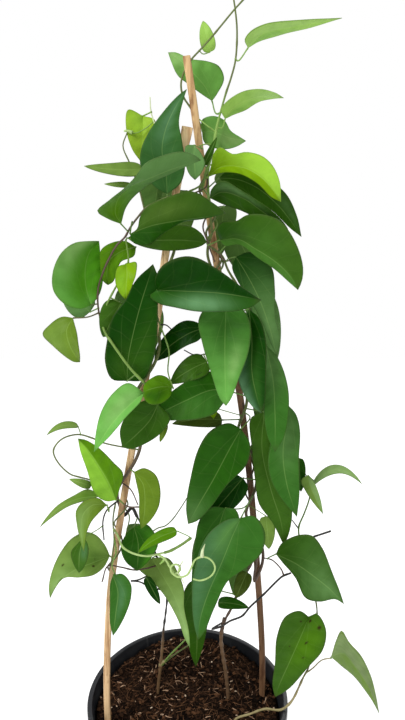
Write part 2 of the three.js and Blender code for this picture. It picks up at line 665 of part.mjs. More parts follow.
function soilHeight(x, y) {
  const back = Math.max(0, y / RIM_RADIUS);
  const right = Math.max(0, x / RIM_RADIUS);
  const heap = SOIL_HEAP * back * back - 0.7 * SOIL_HEAP * right * right * (1 - back);
  const lumps = 1.3 * Math.sin(x * 0.13 + 1) * Math.cos(y * 0.17) + 0.9 * Math.sin(x * 0.31 - y * 0.27);
  return SOIL_LEVEL + heap + lumps;
}

function soilSolid(holes) {
  const footRadius = POT_FOOT_RADIUS - POT_WALL - SEAT_GAP;
  const edgeZ = POT_HEIGHT - RIM_BAND_HEIGHT - UNDER_BAND;
  const edgeRadius = wallRadius(POT_HEIGHT - RIM_BAND_HEIGHT) - POT_WALL - SEAT_GAP;
  const geometry = lathe([
    [0, POT_FLOOR + SEAT_GAP],
    [footRadius, POT_FLOOR + SEAT_GAP],
    [edgeRadius - 1.6, edgeZ - 14],
    [edgeRadius - 1.2, SOIL_LEVEL],
    [edgeRadius * 0.8, SOIL_LEVEL],
    [edgeRadius * 0.58, SOIL_LEVEL],
    [edgeRadius * 0.36, SOIL_LEVEL],
    [edgeRadius * 0.16, SOIL_LEVEL],
    [0, SOIL_LEVEL],
  ]);
  const place = geometry.getAttribute('position');
  for (let i = 0; i < place.count; i += 1) {
    if (Math.abs(place.getZ(i) - SOIL_LEVEL) < 0.01) {
      place.setZ(i, soilHeight(place.getX(i), place.getY(i)));
    }
  }
  return holes.reduce((soil, hole) => soil.subtract(hole), solidFrom(geometry));
}

// Stakes: split bamboo, flat at the back and rounded at the front

function stakeSection(grow) {
  const halfWidth = STAKE_WIDTH / 2 + grow;
  const halfDepth = STAKE_DEPTH / 2 + grow;
  return new THREE.Shape([
    new THREE.Vector2(-halfWidth, -halfDepth),
    new THREE.Vector2(halfWidth, -halfDepth),
    new THREE.Vector2(halfWidth, halfDepth * 0.35),
    new THREE.Vector2(halfWidth * 0.5, halfDepth),
    new THREE.Vector2(-halfWidth * 0.5, halfDepth),
    new THREE.Vector2(-halfWidth, halfDepth * 0.35),
  ]);
}

function stakeCurve(points, foot) {
  return new THREE.CatmullRomCurve3([...points.map(seen), foot], false, 'centripetal');
}

function stakeSolid(curve, grow) {
  const steps = STAKE_STEPS;
  const frames = [];
  for (let i = 0; i <= steps; i += 1) {
    frames.push(curve.getPointAt(i / steps));
  }
  const corners = stakeSection(grow).getPoints();
  const positions = [];
  const index = [];
  const across = new THREE.Vector3(1, 0, 0);
  frames.forEach((centre, ring) => {
    const along = curve.getTangentAt(ring / steps);
    const deep = new THREE.Vector3().crossVectors(across, along).normalize();
    const wide = new THREE.Vector3().crossVectors(along, deep);
    const end = ring === steps ? grow : 0;
    corners.forEach((corner) => {
      const point = centre.clone().addScaledVector(wide, corner.x).addScaledVector(deep, -corner.y);
      positions.push(...point.addScaledVector(along, end).toArray());
    });
  });
  const count = corners.length;
  for (let ring = 0; ring < steps; ring += 1) {
    for (let i = 0; i < count; i += 1) {
      const a = ring * count + i;
      const b = ring * count + ((i + 1) % count);
      index.push(a, a + count, b, b, a + count, b + count);
    }
  }
  for (let i = 1; i < count - 1; i += 1) {
    index.push(0, i, i + 1);
    index.push(steps * count, steps * count + i + 1, steps * count + i);
  }
  const geometry = new THREE.BufferGeometry();
  geometry.setAttribute('position', new THREE.Float32BufferAttribute(positions, 3));
  geometry.setIndex(index);
  return solidFrom(geometry);
}

// Stems

function rooted(points, drop) {
  const places = points.map(seen);
  const root = places[0].clone();
  root.z -= drop;
  return new THREE.CatmullRomCurve3([root, ...places], false, 'centripetal');
}

function twine(stake, { from, to, turns, phase }) {
  const points = [];
  const count = Math.round(turns * 9);
  for (let i = 0; i <= count; i += 1) {
    const share = i / count;
    const turn = 2 * Math.PI * (phase + turns * share);
    const point = stake.getPointAt(THREE.MathUtils.lerp(from, to, share));
    point.x += TWINE_REACH * Math.cos(turn);
    point.y += TWINE_REACH * Math.sin(turn);
    points.push(point);
  }
  return new THREE.CatmullRomCurve3(points, false, 'centripetal');
}

function branch(points, curves) {
  const places = points.map(seen);
  places[0] = nearest(curves, places[0]);
  return new THREE.CatmullRomCurve3(places, false, 'centripetal');
}

function joined(first, second) {
  const end = [first.getPointAt(LINK_SHARE), first.getPointAt(1)];
  return new THREE.CatmullRomCurve3([...end, ...second.points.slice(0, 2)]);
}

function stemHole(points, radius) {
  return tube(rooted(points, ROOT_DEPTH + HOLE_GAP), radius + 1.5 * HOLE_GAP, HOLE_SIDES, WOOD_STEP);
}

// Leaves

function bladeHalfWidth(share, { wide, peak = BLADE_WIDEST }) {
  const rise = (share + BLADE_BASE_OPEN) / (peak + BLADE_BASE_OPEN);
  const fall = (1 - share) / (1 - peak);
  const basePower = (BLADE_TIP_POWER * peak) / (1 - peak);
  return (wide / 2) * rise ** basePower * fall ** BLADE_TIP_POWER;
}

function bladeLift(leaf) {
  return Math.tan(THREE.MathUtils.degToRad(leaf.fold ?? 12)) - BLADE_DROOP;
}

function bladeFrame(leaf) {
  const { base, tip, facing } = leaf;
  const along = tip.clone().sub(base);
  const length = along.length();
  along.divideScalar(length);
  const side = new THREE.Vector3().crossVectors(along, facing).normalize();
  const turn = THREE.MathUtils.degToRad(leaf.roll ?? 0);
  side.applyAxisAngle(along, turn);
  const face = new THREE.Vector3().crossVectors(side, along);
  return { base, along, side, face, length };
}

function midrib({ base, along, side, face, length }, leaf, share) {
  const bow = 4 * share * (1 - share);
  return base.clone()
    .addScaledVector(along, share * length)
    .addScaledVector(face, (leaf.arch ?? 5) * bow)
    .addScaledVector(side, (leaf.sway ?? 0) * bow);
}

// A point of a traced blade: across is -1, 0 or 1, and arch, roll and fold give the depth.
function tracedPoint(leaf, share, across) {
  const { middle, edges, ends } = leaf.trace;
  const centre = middle.getPointAt(share);
  const spot = across === 0 ? centre : edges[across].getPointAt(share);
  const slope = across * Math.tan(THREE.MathUtils.degToRad(leaf.roll ?? 0)) - bladeLift(leaf);
  const bow = 4 * share * (1 - share) * (leaf.arch ?? 5);
  const depth = THREE.MathUtils.lerp(ends[0], ends[1], share) - bow + slope * spot.distanceTo(centre);
  return seen([spot.x, spot.y, depth]);
}

function tracedStation(frame, leaf, share) {
  const inner = Math.min(share, TRACED_END);
  const ahead = tracedPoint(leaf, inner + 0.02, 0).sub(tracedPoint(leaf, inner - 0.02, 0));
  const side = tracedPoint(leaf, inner, 1).sub(tracedPoint(leaf, inner, -1));
  const normal = side.cross(ahead).normalize();
  return (across, upper) => tracedPoint(leaf, share, across)
    .addScaledVector(normal, (upper * BLADE_THICKNESS) / 2);
}

function bladeStation(frame, leaf, share) {
  const half = bladeHalfWidth(share, leaf);
  const centre = midrib(frame, leaf, share);
  const ahead = midrib(frame, leaf, share + 0.01).sub(midrib(frame, leaf, share - 0.01)).normalize();
  const normal = new THREE.Vector3().crossVectors(frame.side, ahead).normalize();
  const side = new THREE.Vector3().crossVectors(ahead, normal);
  const lift = bladeLift(leaf);
  const sweep = -(leaf.lobe ?? -0.03) * frame.length * (1 - share) ** 5;
  return (across, upper) => centre.clone()
    .addScaledVector(side, across * half)
    .addScaledVector(normal, Math.abs(across) * lift * half + (upper * BLADE_THICKNESS) / 2)
    .addScaledVector(ahead, Math.abs(across) * sweep);
}

function petioleStation(frame, curve, share, radius) {
  const centre = curve.getPointAt(share);
  const ahead = curve.getTangentAt(share);
  const normal = new THREE.Vector3().crossVectors(frame.side, ahead).normalize();
  const side = new THREE.Vector3().crossVectors(ahead, normal);
  return (across, upper) => centre.clone()
    .addScaledVector(side, across * radius)
    .addScaledVector(normal, upper * radius);
}

function petiole(leaf, frame, curves) {
  const joint = nearest(curves, leaf.via[0] ?? leaf.base);
  const points = [joint, ...leaf.via, leaf.base];
  joint.addScaledVector(points[1].clone().sub(joint).normalize(), -ROOT_SINK);
  const curve = new THREE.CatmullRomCurve3(points, false, 'centripetal');
  const length = curve.getLength();
  const end = 1 - Math.min(0.3, PETIOLE_NECK / length);
  const steps = Math.max(1, Math.round(length / PETIOLE_STEP));
  const radius = leaf.wide < SMALL_LEAF ? SMALL_PETIOLE_HALF : PETIOLE_HALF;
  const stations = [];
  for (let i = 0; i <= steps; i += 1) {
    stations.push(petioleStation(frame, curve, (i / steps) * end, radius));
  }
  return stations;
}

function stationShares(leaf, length) {
  if (leaf.trace) return length < SHORT_BLADE ? SHORT_TRACED_STATIONS : TRACED_STATIONS;
  return leaf.wide < SMALL_LEAF ? SMALL_BLADE_STATIONS : BLADE_STATIONS;
}

// Triangles of one face between two rows of 1, 2 or 3 points, alike on both sides of the midrib.
function stitched(near, far) {
  if (far.length === 1) return near.slice(1).map((corner, i) => [near[i], far[0], corner]);
  if (near.length === far.length - 1) {
    return [[near[0], far[0], far[1]], [near[0], far[1], near[1]], [near[1], far[1], far[2]]];
  }
  const left = [[near[0], far[0], near[1]], [near[1], far[0], far[1]]];
  if (near.length === 2) return left;
  return [...left, [near[1], far[1], far[2]], [near[1], far[2], near[2]]];
}

// A leaf is one skin: rows of points run up the petiole and the blade to the tip, on both faces.
function leafSolid(leaf, curves) {
  const frame = bladeFrame(leaf);
  const station = leaf.trace ? tracedStation : bladeStation;
  const shares = stationShares(leaf, frame.length);
  const rowPlans = [
    ...petiole(leaf, frame, curves).map((place) => [place, [-1, 1]]),
    ...shares.map((share) => [station(frame, leaf, share), [-1, 0, 1]]),
    [station(frame, leaf, 1), [0]],
  ];
  const positions = [];
  let count = 0;
  const rows = rowPlans.map(([, acrosses]) => acrosses.map(() => count++));
  for (const upper of [1, -1]) {
    for (const [place, acrosses] of rowPlans) {
      for (const across of acrosses) positions.push(...place(across, upper).toArray());
    }
  }
  const index = [];
  for (let i = 0; i < rows.length - 1; i += 1) {
    for (const [a, b, c] of stitched(rows[i], rows[i + 1])) {
      index.push(a, b, c, count + a, count + c, count + b);
    }
  }
  const edge = [...rows.map((row) => row[row.length - 1]), ...rows.map((row) => row[0]).reverse().slice(1)];
  edge.forEach((a, i) => {
    const b = edge[(i + 1) % edge.length];
    index.push(a, b, count + a, b, count + b, count + a);
  });
  const geometry = new THREE.BufferGeometry();
  geometry.setAttribute('position', new THREE.Float32BufferAttribute(positions, 3));
  geometry.setIndex(index);
  return solidFrom(geometry);
}

function nearest(curves, place) {
  let best = null;
  for (const curve of curves) {
    const count = Math.max(8, Math.round(curve.getLength() / 4));
    for (const point of curve.getSpacedPoints(count)) {
      if (best === null || point.distanceTo(place) < best.distanceTo(place)) best = point;
    }
  }
  return best;
}

function flatCurve(spots) {
  return new THREE.CatmullRomCurve3(spots.map(([u, v]) => new THREE.Vector3(u, v, 0)), false, 'centripetal');
}

function traceOf({ base, tip, mid, left, right }) {
  const [middle, leftEdge, rightEdge] = [mid, left, right].map((spots) => flatCurve([base, ...spots, tip]));
  return { middle, edges: { '-1': leftEdge, 1: rightEdge }, ends: [base[2], tip[2]] };
}

function frontLeaf(leaf) {
  const base = seen(leaf.base);
  const facing = EYE.clone().sub(base).normalize();
  const trace = leaf.mid && traceOf(leaf);
  return { ...leaf, base, tip: seen(leaf.tip), facing, trace, via: (leaf.via ?? []).map(seen) };
}

function backLeaf(leaf) {
  return { ...leaf, base: seen(leaf.base), tip: seen(leaf.tip), facing: BACK_FACING, via: [] };
}

function vine({ wood, woodRadius, twiner, stems, leaves, back }) {
  const trunk = rooted(wood, ROOT_DEPTH);
  const curves = [trunk];
  const solids = [tube(trunk, woodRadius, WOOD_SIDES, WOOD_STEP)];
  if (twiner) {
    const link = joined(trunk, twiner);
    for (const curve of [link, twiner]) {
      solids.push(tube(curve, STEM_TWINE_RADIUS, STEM_SIDES, STEM_STEP));
    }
    curves.push(twiner);
  }
  for (const [radius, points] of stems) {
    const curve = branch(points, curves);
    curves.push(curve);
    solids.push(tube(curve, radius, radius > STEM_TOP_RADIUS ? STEM_SIDES : TWIG_SIDES, STEM_STEP));
  }
  const all = [...leaves.map(frontLeaf), ...back.map(backLeaf)];
  for (const leaf of all) {
    solids.push(leafSolid(leaf, curves));
  }
  return fused(solids);
}

// The whole plant

const leftStake = stakeCurve(STAKE_LEFT, STAKE_LEFT_FOOT);
const rightStake = stakeCurve(STAKE_RIGHT, STAKE_RIGHT_FOOT);

const holes = [
  stakeSolid(leftStake, HOLE_GAP),
  stakeSolid(rightStake, HOLE_GAP),
  stemHole(LEFT_WOOD, STEM_WOOD_RADIUS),
  stemHole(RIGHT_WOOD, STEM_WOOD_RADIUS),
  stemHole(TRAILING_WOOD, TRAILING_RADIUS),
];

const pieces = {
  pot: [potSolid(), 0x1f2126, 0.5],
  soil: [soilSolid(holes), 0x33221a, 1.0],
  stake_left: [stakeSolid(leftStake, 0), 0xd9b58a, 0.7],
  stake_right: [stakeSolid(rightStake, 0), 0xb98a5c, 0.75],
  vine_left: [vine({
    wood: LEFT_WOOD,
    woodRadius: STEM_WOOD_RADIUS,
    twiner: twine(leftStake, LEFT_TWINE),
    stems: LEFT_STEMS,
    leaves: LEFT_LEAVES,
    back: LEFT_BACK,
  }), 0x3f7a25, 0.45],
  vine_right: [vine({
    wood: RIGHT_WOOD,
    woodRadius: STEM_WOOD_RADIUS,
    twiner: twine(rightStake, RIGHT_TWINE),
    stems: RIGHT_STEMS,
    leaves: RIGHT_LEAVES,
    back: RIGHT_BACK,
  }), 0x2f6a1c, 0.45],
  vine_trailing: [vine({
    wood: TRAILING_WOOD,
    woodRadius: TRAILING_RADIUS,
    stems: TRAILING_STEMS,
    leaves: TRAILING_LEAVES,
    back: [],
  }), 0x5c8a35, 0.5],
};

const plant = new THREE.Group();
for (const [name, [solid, color, roughness]] of Object.entries(pieces)) {
  const material = new THREE.MeshStandardMaterial({ color, roughness, metalness: 0 });
  const mesh = new THREE.Mesh(geometryFrom(solid), material);
  mesh.name = name;
  plant.add(mesh);
}

export default plant;
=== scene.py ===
"""Dresses the potted tiliacora triandra: two twining vines and a trailing one, on split bamboo, in a pot.

The plant is placed as its solids are: a point (u, v, y) lies on the sight line through the picture point
u, v of a 405 x 720 frame, at depth y in millimetres. Everything that is made is in metres, +Z up.
"""

import bisect
import logging
import math
import random
from dataclasses import dataclass, field
from enum import Enum
from typing import Callable, Sequence

import bpy
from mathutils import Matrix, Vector, noise


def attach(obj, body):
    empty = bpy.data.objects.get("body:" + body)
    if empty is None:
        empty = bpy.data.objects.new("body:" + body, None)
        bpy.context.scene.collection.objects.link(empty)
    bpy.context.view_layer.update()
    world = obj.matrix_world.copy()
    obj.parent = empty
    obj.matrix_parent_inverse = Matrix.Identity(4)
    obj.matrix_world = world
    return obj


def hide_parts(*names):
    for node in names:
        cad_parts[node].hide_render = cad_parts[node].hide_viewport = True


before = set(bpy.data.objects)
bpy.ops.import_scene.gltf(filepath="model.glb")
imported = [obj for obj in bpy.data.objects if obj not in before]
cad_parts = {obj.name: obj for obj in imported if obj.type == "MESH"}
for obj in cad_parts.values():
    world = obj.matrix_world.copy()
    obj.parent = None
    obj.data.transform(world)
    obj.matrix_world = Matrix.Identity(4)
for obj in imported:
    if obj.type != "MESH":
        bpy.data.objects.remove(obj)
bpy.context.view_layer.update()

LOG = logging.getLogger("potted_vine")

MM = 0.001
EYE = Vector((16.0, -556.0, 701.0))
EYE_PITCH = math.radians(13.0)
BACK_FACING = Vector((0.0, 1.0, 0.2))
FRAME_SIZE = (405, 720)
FRAME_FOCAL = 600.0

POT_HEIGHT = 200.0
POT_FOOT_RADIUS = 84.0
POT_WALL_TOP_RADIUS = 104.0
POT_WALL = 2.0
POT_FLOOR = 2.6
RIM_RADIUS = 108.0
RIM_BAND_HEIGHT = 11.0
RIM_LIP = 5.0
DRAIN_HOLES = 6
DRAIN_HOLE_RADIUS = 6.0
DRAIN_HOLE_RING = 62.0
SOIL_LEVEL = 187.0
SOIL_HEAP = 9.0

STAKE_WIDTH = 7.0
STAKE_DEPTH = 4.6
STAKE_FOOT_Z = 60.0
WOOD_RADIUS = 2.1
TWINE_RADIUS = 1.5
TRAILING_RADIUS = 1.25
STEM_RADIUS = 0.95
TWIG_RADIUS = 0.7
ROOT_DEPTH = 26.0
TWINE_REACH = 7.2
ROOT_SINK = 0.7
STEM_SIDES = 10
RING_STEP = 1.6
TWINE_GRAIN = 9
LOOSE_REACH = 2.0
BLADE_THICKNESS = 0.45
BLADE_TIP_POWER = 0.86
BLADE_PEAK = 0.29
BLADE_OPENING = 0.03
BLADE_DROOP = 0.1
BLADE_SWEEP = 0.03
BLADE_RIPPLE = 0.5
BLADE_QUILT = 0.4
BLADE_GRID = (20, 34)
SMALL_GRID = (12, 20)
SMALL_LEAF = 18.0
PIXEL = 0.95
VEIN_SPACING = 13.0
KNOT_SPACING = 210.0

Spot = tuple[float, float, float]
Colour = tuple[float, float, float]


def seen(spot: Spot) -> Vector:
    """Gives the point, in millimetres, at depth y on the sight line of the picture point u, v."""
    u, v, y = spot
    right = (u - FRAME_SIZE[0] / 2) / FRAME_FOCAL
    up = (FRAME_SIZE[1] / 2 - v) / FRAME_FOCAL
    sight = Vector((
        right,
        math.cos(EYE_PITCH) + up * math.sin(EYE_PITCH),
        up * math.cos(EYE_PITCH) - math.sin(EYE_PITCH),
    ))
    return EYE + sight * ((y - EYE.y) / sight.y)


def display(red: int, green: int, blue: int) -> Colour:
    """Turns a screen colour (0 to 255) into the linear values that materials take."""
    return tuple(((c / 255 + 0.055) / 1.055) ** 2.4 if c > 10 else c / 3295 for c in (red, green, blue))


def mixed(first: Colour, second: Colour, share: float) -> Colour:
    """Blends two colours: share 0 gives the first and 1 the second."""
    return tuple(a + (b - a) * share for a, b in zip(first, second))


def smooth(low: float, high: float, value: float) -> float:
    """Rises from 0 at low to 1 at high, with soft ends."""
    t = min(1.0, max(0.0, (value - low) / (high - low)))
    return t * t * (3 - 2 * t)


class Course:
    """A smooth centripetal curve through points, measured along its length."""

    GRAIN = 24

    def __init__(self, points: Sequence[Vector]) -> None:
        """Samples the curve that runs through these points, in millimetres."""
        self.points = [p.copy() for p in points]
        shares = [k / self.GRAIN for k in range(self.GRAIN)]
        self.samples = [self._between(i, t) for i in range(len(points) - 1) for t in shares]
        self.samples.append(self.points[-1].copy())
        self.reach = [0.0]
        for a, b in zip(self.samples, self.samples[1:]):
            self.reach.append(self.reach[-1] + (b - a).length)
        self.length = self.reach[-1]

    def _between(self, i: int, t: float) -> Vector:
        """Gives the point at share t of the stretch that starts at point i."""
        points = self.points
        p1, p2 = points[i], points[i + 1]
        p0 = points[i - 1] if i > 0 else p1 * 2 - p2
        p3 = points[i + 2] if i + 2 < len(points) else p2 * 2 - p1
        steps = [max(1e-4, (b - a).length ** 0.5) for a, b in ((p0, p1), (p1, p2), (p2, p3))]
        start = (p1 - p0) / steps[0] - (p2 - p0) / (steps[0] + steps[1]) + (p2 - p1) / steps[1]
        end = (p2 - p1) / steps[1] - (p3 - p1) / (steps[1] + steps[2]) + (p3 - p2) / steps[2]
        start, end = start * steps[1], end * steps[1]
        return (
            p1 * (2 * t**3 - 3 * t**2 + 1) + start * (t**3 - 2 * t**2 + t)
            + p2 * (3 * t**2 - 2 * t**3) + end * (t**3 - t**2)
        )

    def at(self, share: float) -> Vector:
        """Gives the point at a share of the length."""
        goal = share * self.length
        i = min(len(self.samples) - 2, max(0, bisect.bisect_right(self.reach, goal) - 1))
        step = self.reach[i + 1] - self.reach[i]
        return self.samples[i].lerp(self.samples[i + 1], (goal - self.reach[i]) / step if step else 0.0)

    def heading(self, share: float) -> Vector:
        """Gives the direction at a share of the length."""
        return (self.at(min(1.0, share + 0.005)) - self.at(max(0.0, share - 0.005))).normalized()


def nearest(courses: Sequence[Course], place: Vector) -> Vector:
    """Gives the point of the stems grown so far that lies nearest to a place."""
    spots = []
    for course in courses:
        count = max(8, round(course.length / 4))
        spots.extend(course.at(i / count) for i in range(count + 1))
    return min(spots, key=lambda spot: (spot - place).length).copy()


# Colours


class Tone(Enum):
    """Leaf colours, as the eye sees them in soft daylight; some also serve as painted sheen and painted shade
    in the blades' patches.
    """

    DEEP = display(15, 58, 3)
    DARK = display(34, 80, 10)
    SHADE = display(46, 84, 16)
    MOSS = display(56, 94, 22)
    LEAF = display(50, 98, 30)
    BLUE = display(54, 98, 44)
    MID = display(66, 110, 38)
    JADE = display(98, 150, 66)
    FRESH = display(74, 140, 24)
    SPRING = display(106, 170, 76)
    BRIGHT = display(130, 182, 54)
    LIME = display(152, 198, 62)
    GOLD = display(114, 152, 8)
    YELLOW = display(142, 176, 46)
    OLIVE = display(78, 124, 10)
    DRAB = display(94, 122, 30)
    SAGE = display(110, 140, 62)
    DULL = display(64, 82, 24)
    PALE = display(144, 184, 84)
    MIST = display(128, 160, 94)
    GREY = display(94, 134, 74)
    STEEL = display(84, 126, 88)
    SHEEN = display(120, 170, 120)
    WAN = display(152, 188, 118)


class Bark(Enum):
    """Stem colours."""

    WOOD = display(116, 90, 62)
    RED = display(102, 78, 56)
    UMBER = display(88, 70, 58)
    BLACK = display(44, 42, 40)
    OLIVE = display(96, 108, 56)
    GREEN = display(112, 146, 66)
    LIGHT = display(132, 168, 80)
    SHOOT = display(108, 138, 62)
    GREY = display(118, 134, 96)
    YOUNG = display(164, 190, 118)
    BUD = display(204, 216, 172)
    TAN = display(146, 134, 92)


EDGE_TONE = display(66, 78, 40)
SPOT_TONE = display(46, 32, 12)
UNDER_TONE = display(120, 150, 84)


# Where things are


@dataclass(frozen=True)
class PaintedLight:
    """A soft patch of another tone on a blade, painted light: painted sheen where it is paler, painted shade
    where it is darker; at (share, across), of a size as shares, and how strong.
    """

    share: float
    across: float
    tone: Tone
    long: float = 0.3
    broad: float = 0.5
    strength: float = 0.8

    def weight(self, share: float, across: float) -> float:
        """Gives the patch's strength at a place of the blade."""
        d = ((share - self.share) / self.long) ** 2 + ((across - self.across) / self.broad) ** 2
        return self.strength * math.exp(-d)


@dataclass(frozen=True)
class Trace:
    """A blade's outline in the front view: picture points of its midrib and of its edges, base to tip."""

    mid: tuple[tuple[float, float], ...]
    left: tuple[tuple[float, float], ...]
    right: tuple[tuple[float, float], ...]


@dataclass(frozen=True)
class Leaf:
    """One leaf, placed in the front view, with its blade's form in millimetres and degrees.

    roll turns the face towards the right-hand edge, arch and sway bow the midrib out of and across the
    face, and fold lifts the halves. spots are brown specks: share, across and size. fine multiplies the
    blade's grid. A trace gives the outline in place of the width and sway.
    """

    base: Spot
    tip: Spot
    wide: float
    tone: Tone = Tone.MID
    # right and left give one half of the blade another tone: painted light, one half lit and the other in
    # painted shade.
    right: Tone | None = None
    left: Tone | None = None
    # The soft patches of another tone are painted light: painted sheen and painted shade.
    painted_light: tuple[PaintedLight, ...] = ()
    roll: float = 0.0
    arch: float = 5.0
    sway: float = 0.0
    fold: float = 12.0
    via: tuple[Spot, ...] = ()
    back: bool = False
    spots: tuple[tuple[float, float, float], ...] = ()
    fine: int = 1
    bark: Bark = Bark.GREEN
    trace: Trace | None = None

    def stalk_radius(self, share: float) -> float:
        """Gives the stalk's radius in millimetres, swollen at the joint and the blade."""
        thin = 0.45 if self.wide < SMALL_LEAF else 0.62
        return thin * (1 + 0.45 * math.exp(-((share / 0.12) ** 2)) + 0.3 * smooth(0.85, 1, share))

    def stalk_colour(self, share: float) -> Colour:
        """Gives the stalk's colour at a share of its length."""
        return mixed(self.bark.value, self.tone.value, 0.2 + 0.2 * share)


@dataclass(frozen=True)
class Stem:
    """One stem or twig: its radius in millimetres, its bark and the picture points that it runs through.

    thin is the share of the radius left at its end, and end is the bark there.
    """

    radius: float
    bark: Bark
    spots: tuple[Spot, ...]
    thin: float = 0.75
    end: Bark | None = None

    def thickness(self, share: float) -> float:
        """Gives the radius at a share of the length, in millimetres, with small swellings."""
        swell = 1 + 0.2 * max(0.0, math.sin(share * len(self.spots) * 2.3 + self.radius * 9)) ** 8
        return self.radius * (1 + (self.thin - 1) * share) * swell

    def colour(self, share: float) -> Colour:
        """Gives the bark's colour at a share of the length."""
        return mixed(self.bark.value, (self.end or self.bark).value, smooth(0.05, 0.4, share))


@dataclass(frozen=True)
class Twine:
    """A stem's climb round a stake, between two shares of the stake's length."""

    start: float
    end: float
    turns: float
    phase: float
    radius: float = TWINE_RADIUS
    reach: float = TWINE_REACH
    bark: Bark = Bark.OLIVE
    loose: bool = False

    def course(self, stake: Course) -> Course:
        """Gives the centre line of the turns; a loose stem's ends touch the stake."""
        count = round(self.turns * TWINE_GRAIN)
        points = []
        for i in range(count + 1):
            turn = 2 * math.pi * (self.phase + self.turns * i / count)
            point = stake.at(self.start + (self.end - self.start) * i / count)
            reach = LOOSE_REACH if self.loose and i in (0, count) else self.reach
            points.append(point + Vector((math.cos(turn), math.sin(turn), 0.0)) * reach)
        return Course(points)


STAKE_LEFT_SPOTS = (
    (187.5, 127, -14), (165, 258, -19), (158, 312, -21), (132, 450, -26), (114, 562, -29),
    (109, 610, -30), (108, 722, -31),
)
STAKE_RIGHT_SPOTS = (
    (186.5, 56, 0), (193, 100, 1), (198.5, 140, 2), (213, 240, 5), (226, 318, 7), (242, 410, 9),
    (257, 565, 12), (262, 692, 14.6),
)
STAKE_LEFT_FOOT = Vector((-72.0, -26.0, STAKE_FOOT_Z))
STAKE_RIGHT_FOOT = Vector((72.0, 15.0, STAKE_FOOT_Z))

LEFT_WOOD = (
    (158, 690, 15), (160, 670, 12), (162, 650, 9), (163.5, 630, 6), (166, 610, 2), (167, 597, 0),
    (163, 575, -6), (154, 550, -13), (143, 527, -20), (132, 508, -24),
)
RIGHT_WOOD = (
    (228, 697, 7.4), (226, 675, 7), (222, 650, 6), (221, 640, 6), (222, 630, 5), (225, 620, 4),
    (233, 605, 2), (240, 585, 1), (248, 570, 1), (257, 553, 2.5),
)
LEFT_TWINES = (
    Twine(0.5, 0.085, 3.25, 0.2),
    Twine(0.6, 0.47, 2.0, 0.05, 0.8, 5.4, Bark.OLIVE, True),
)
RIGHT_TWINES = (
    Twine(0.652, 0.19, 4.1, -0.35),
    Twine(0.3, 0.12, 3.6, 0.35, 1.1, 5.6, Bark.OLIVE, True),
    Twine(0.28, 0.16, 2.6, 0.8, 0.9, 6.0, Bark.SHOOT, True),
    Twine(0.56, 0.4, 1.8, 0.1, 0.9, 5.8, Bark.UMBER, True),
)
TRAILING_WOOD = (
    (235, 720, -24), (250, 714, -24), (265, 709, -24), (280, 710, -24.5), (287, 706, -22.5),
    (293, 699, -20), (303, 678, -13), (309, 666, -9), (313, 640, 2), (317, 616, 7), (316, 602, 10),
    (310, 580, 12), (303, 556, 12),
)

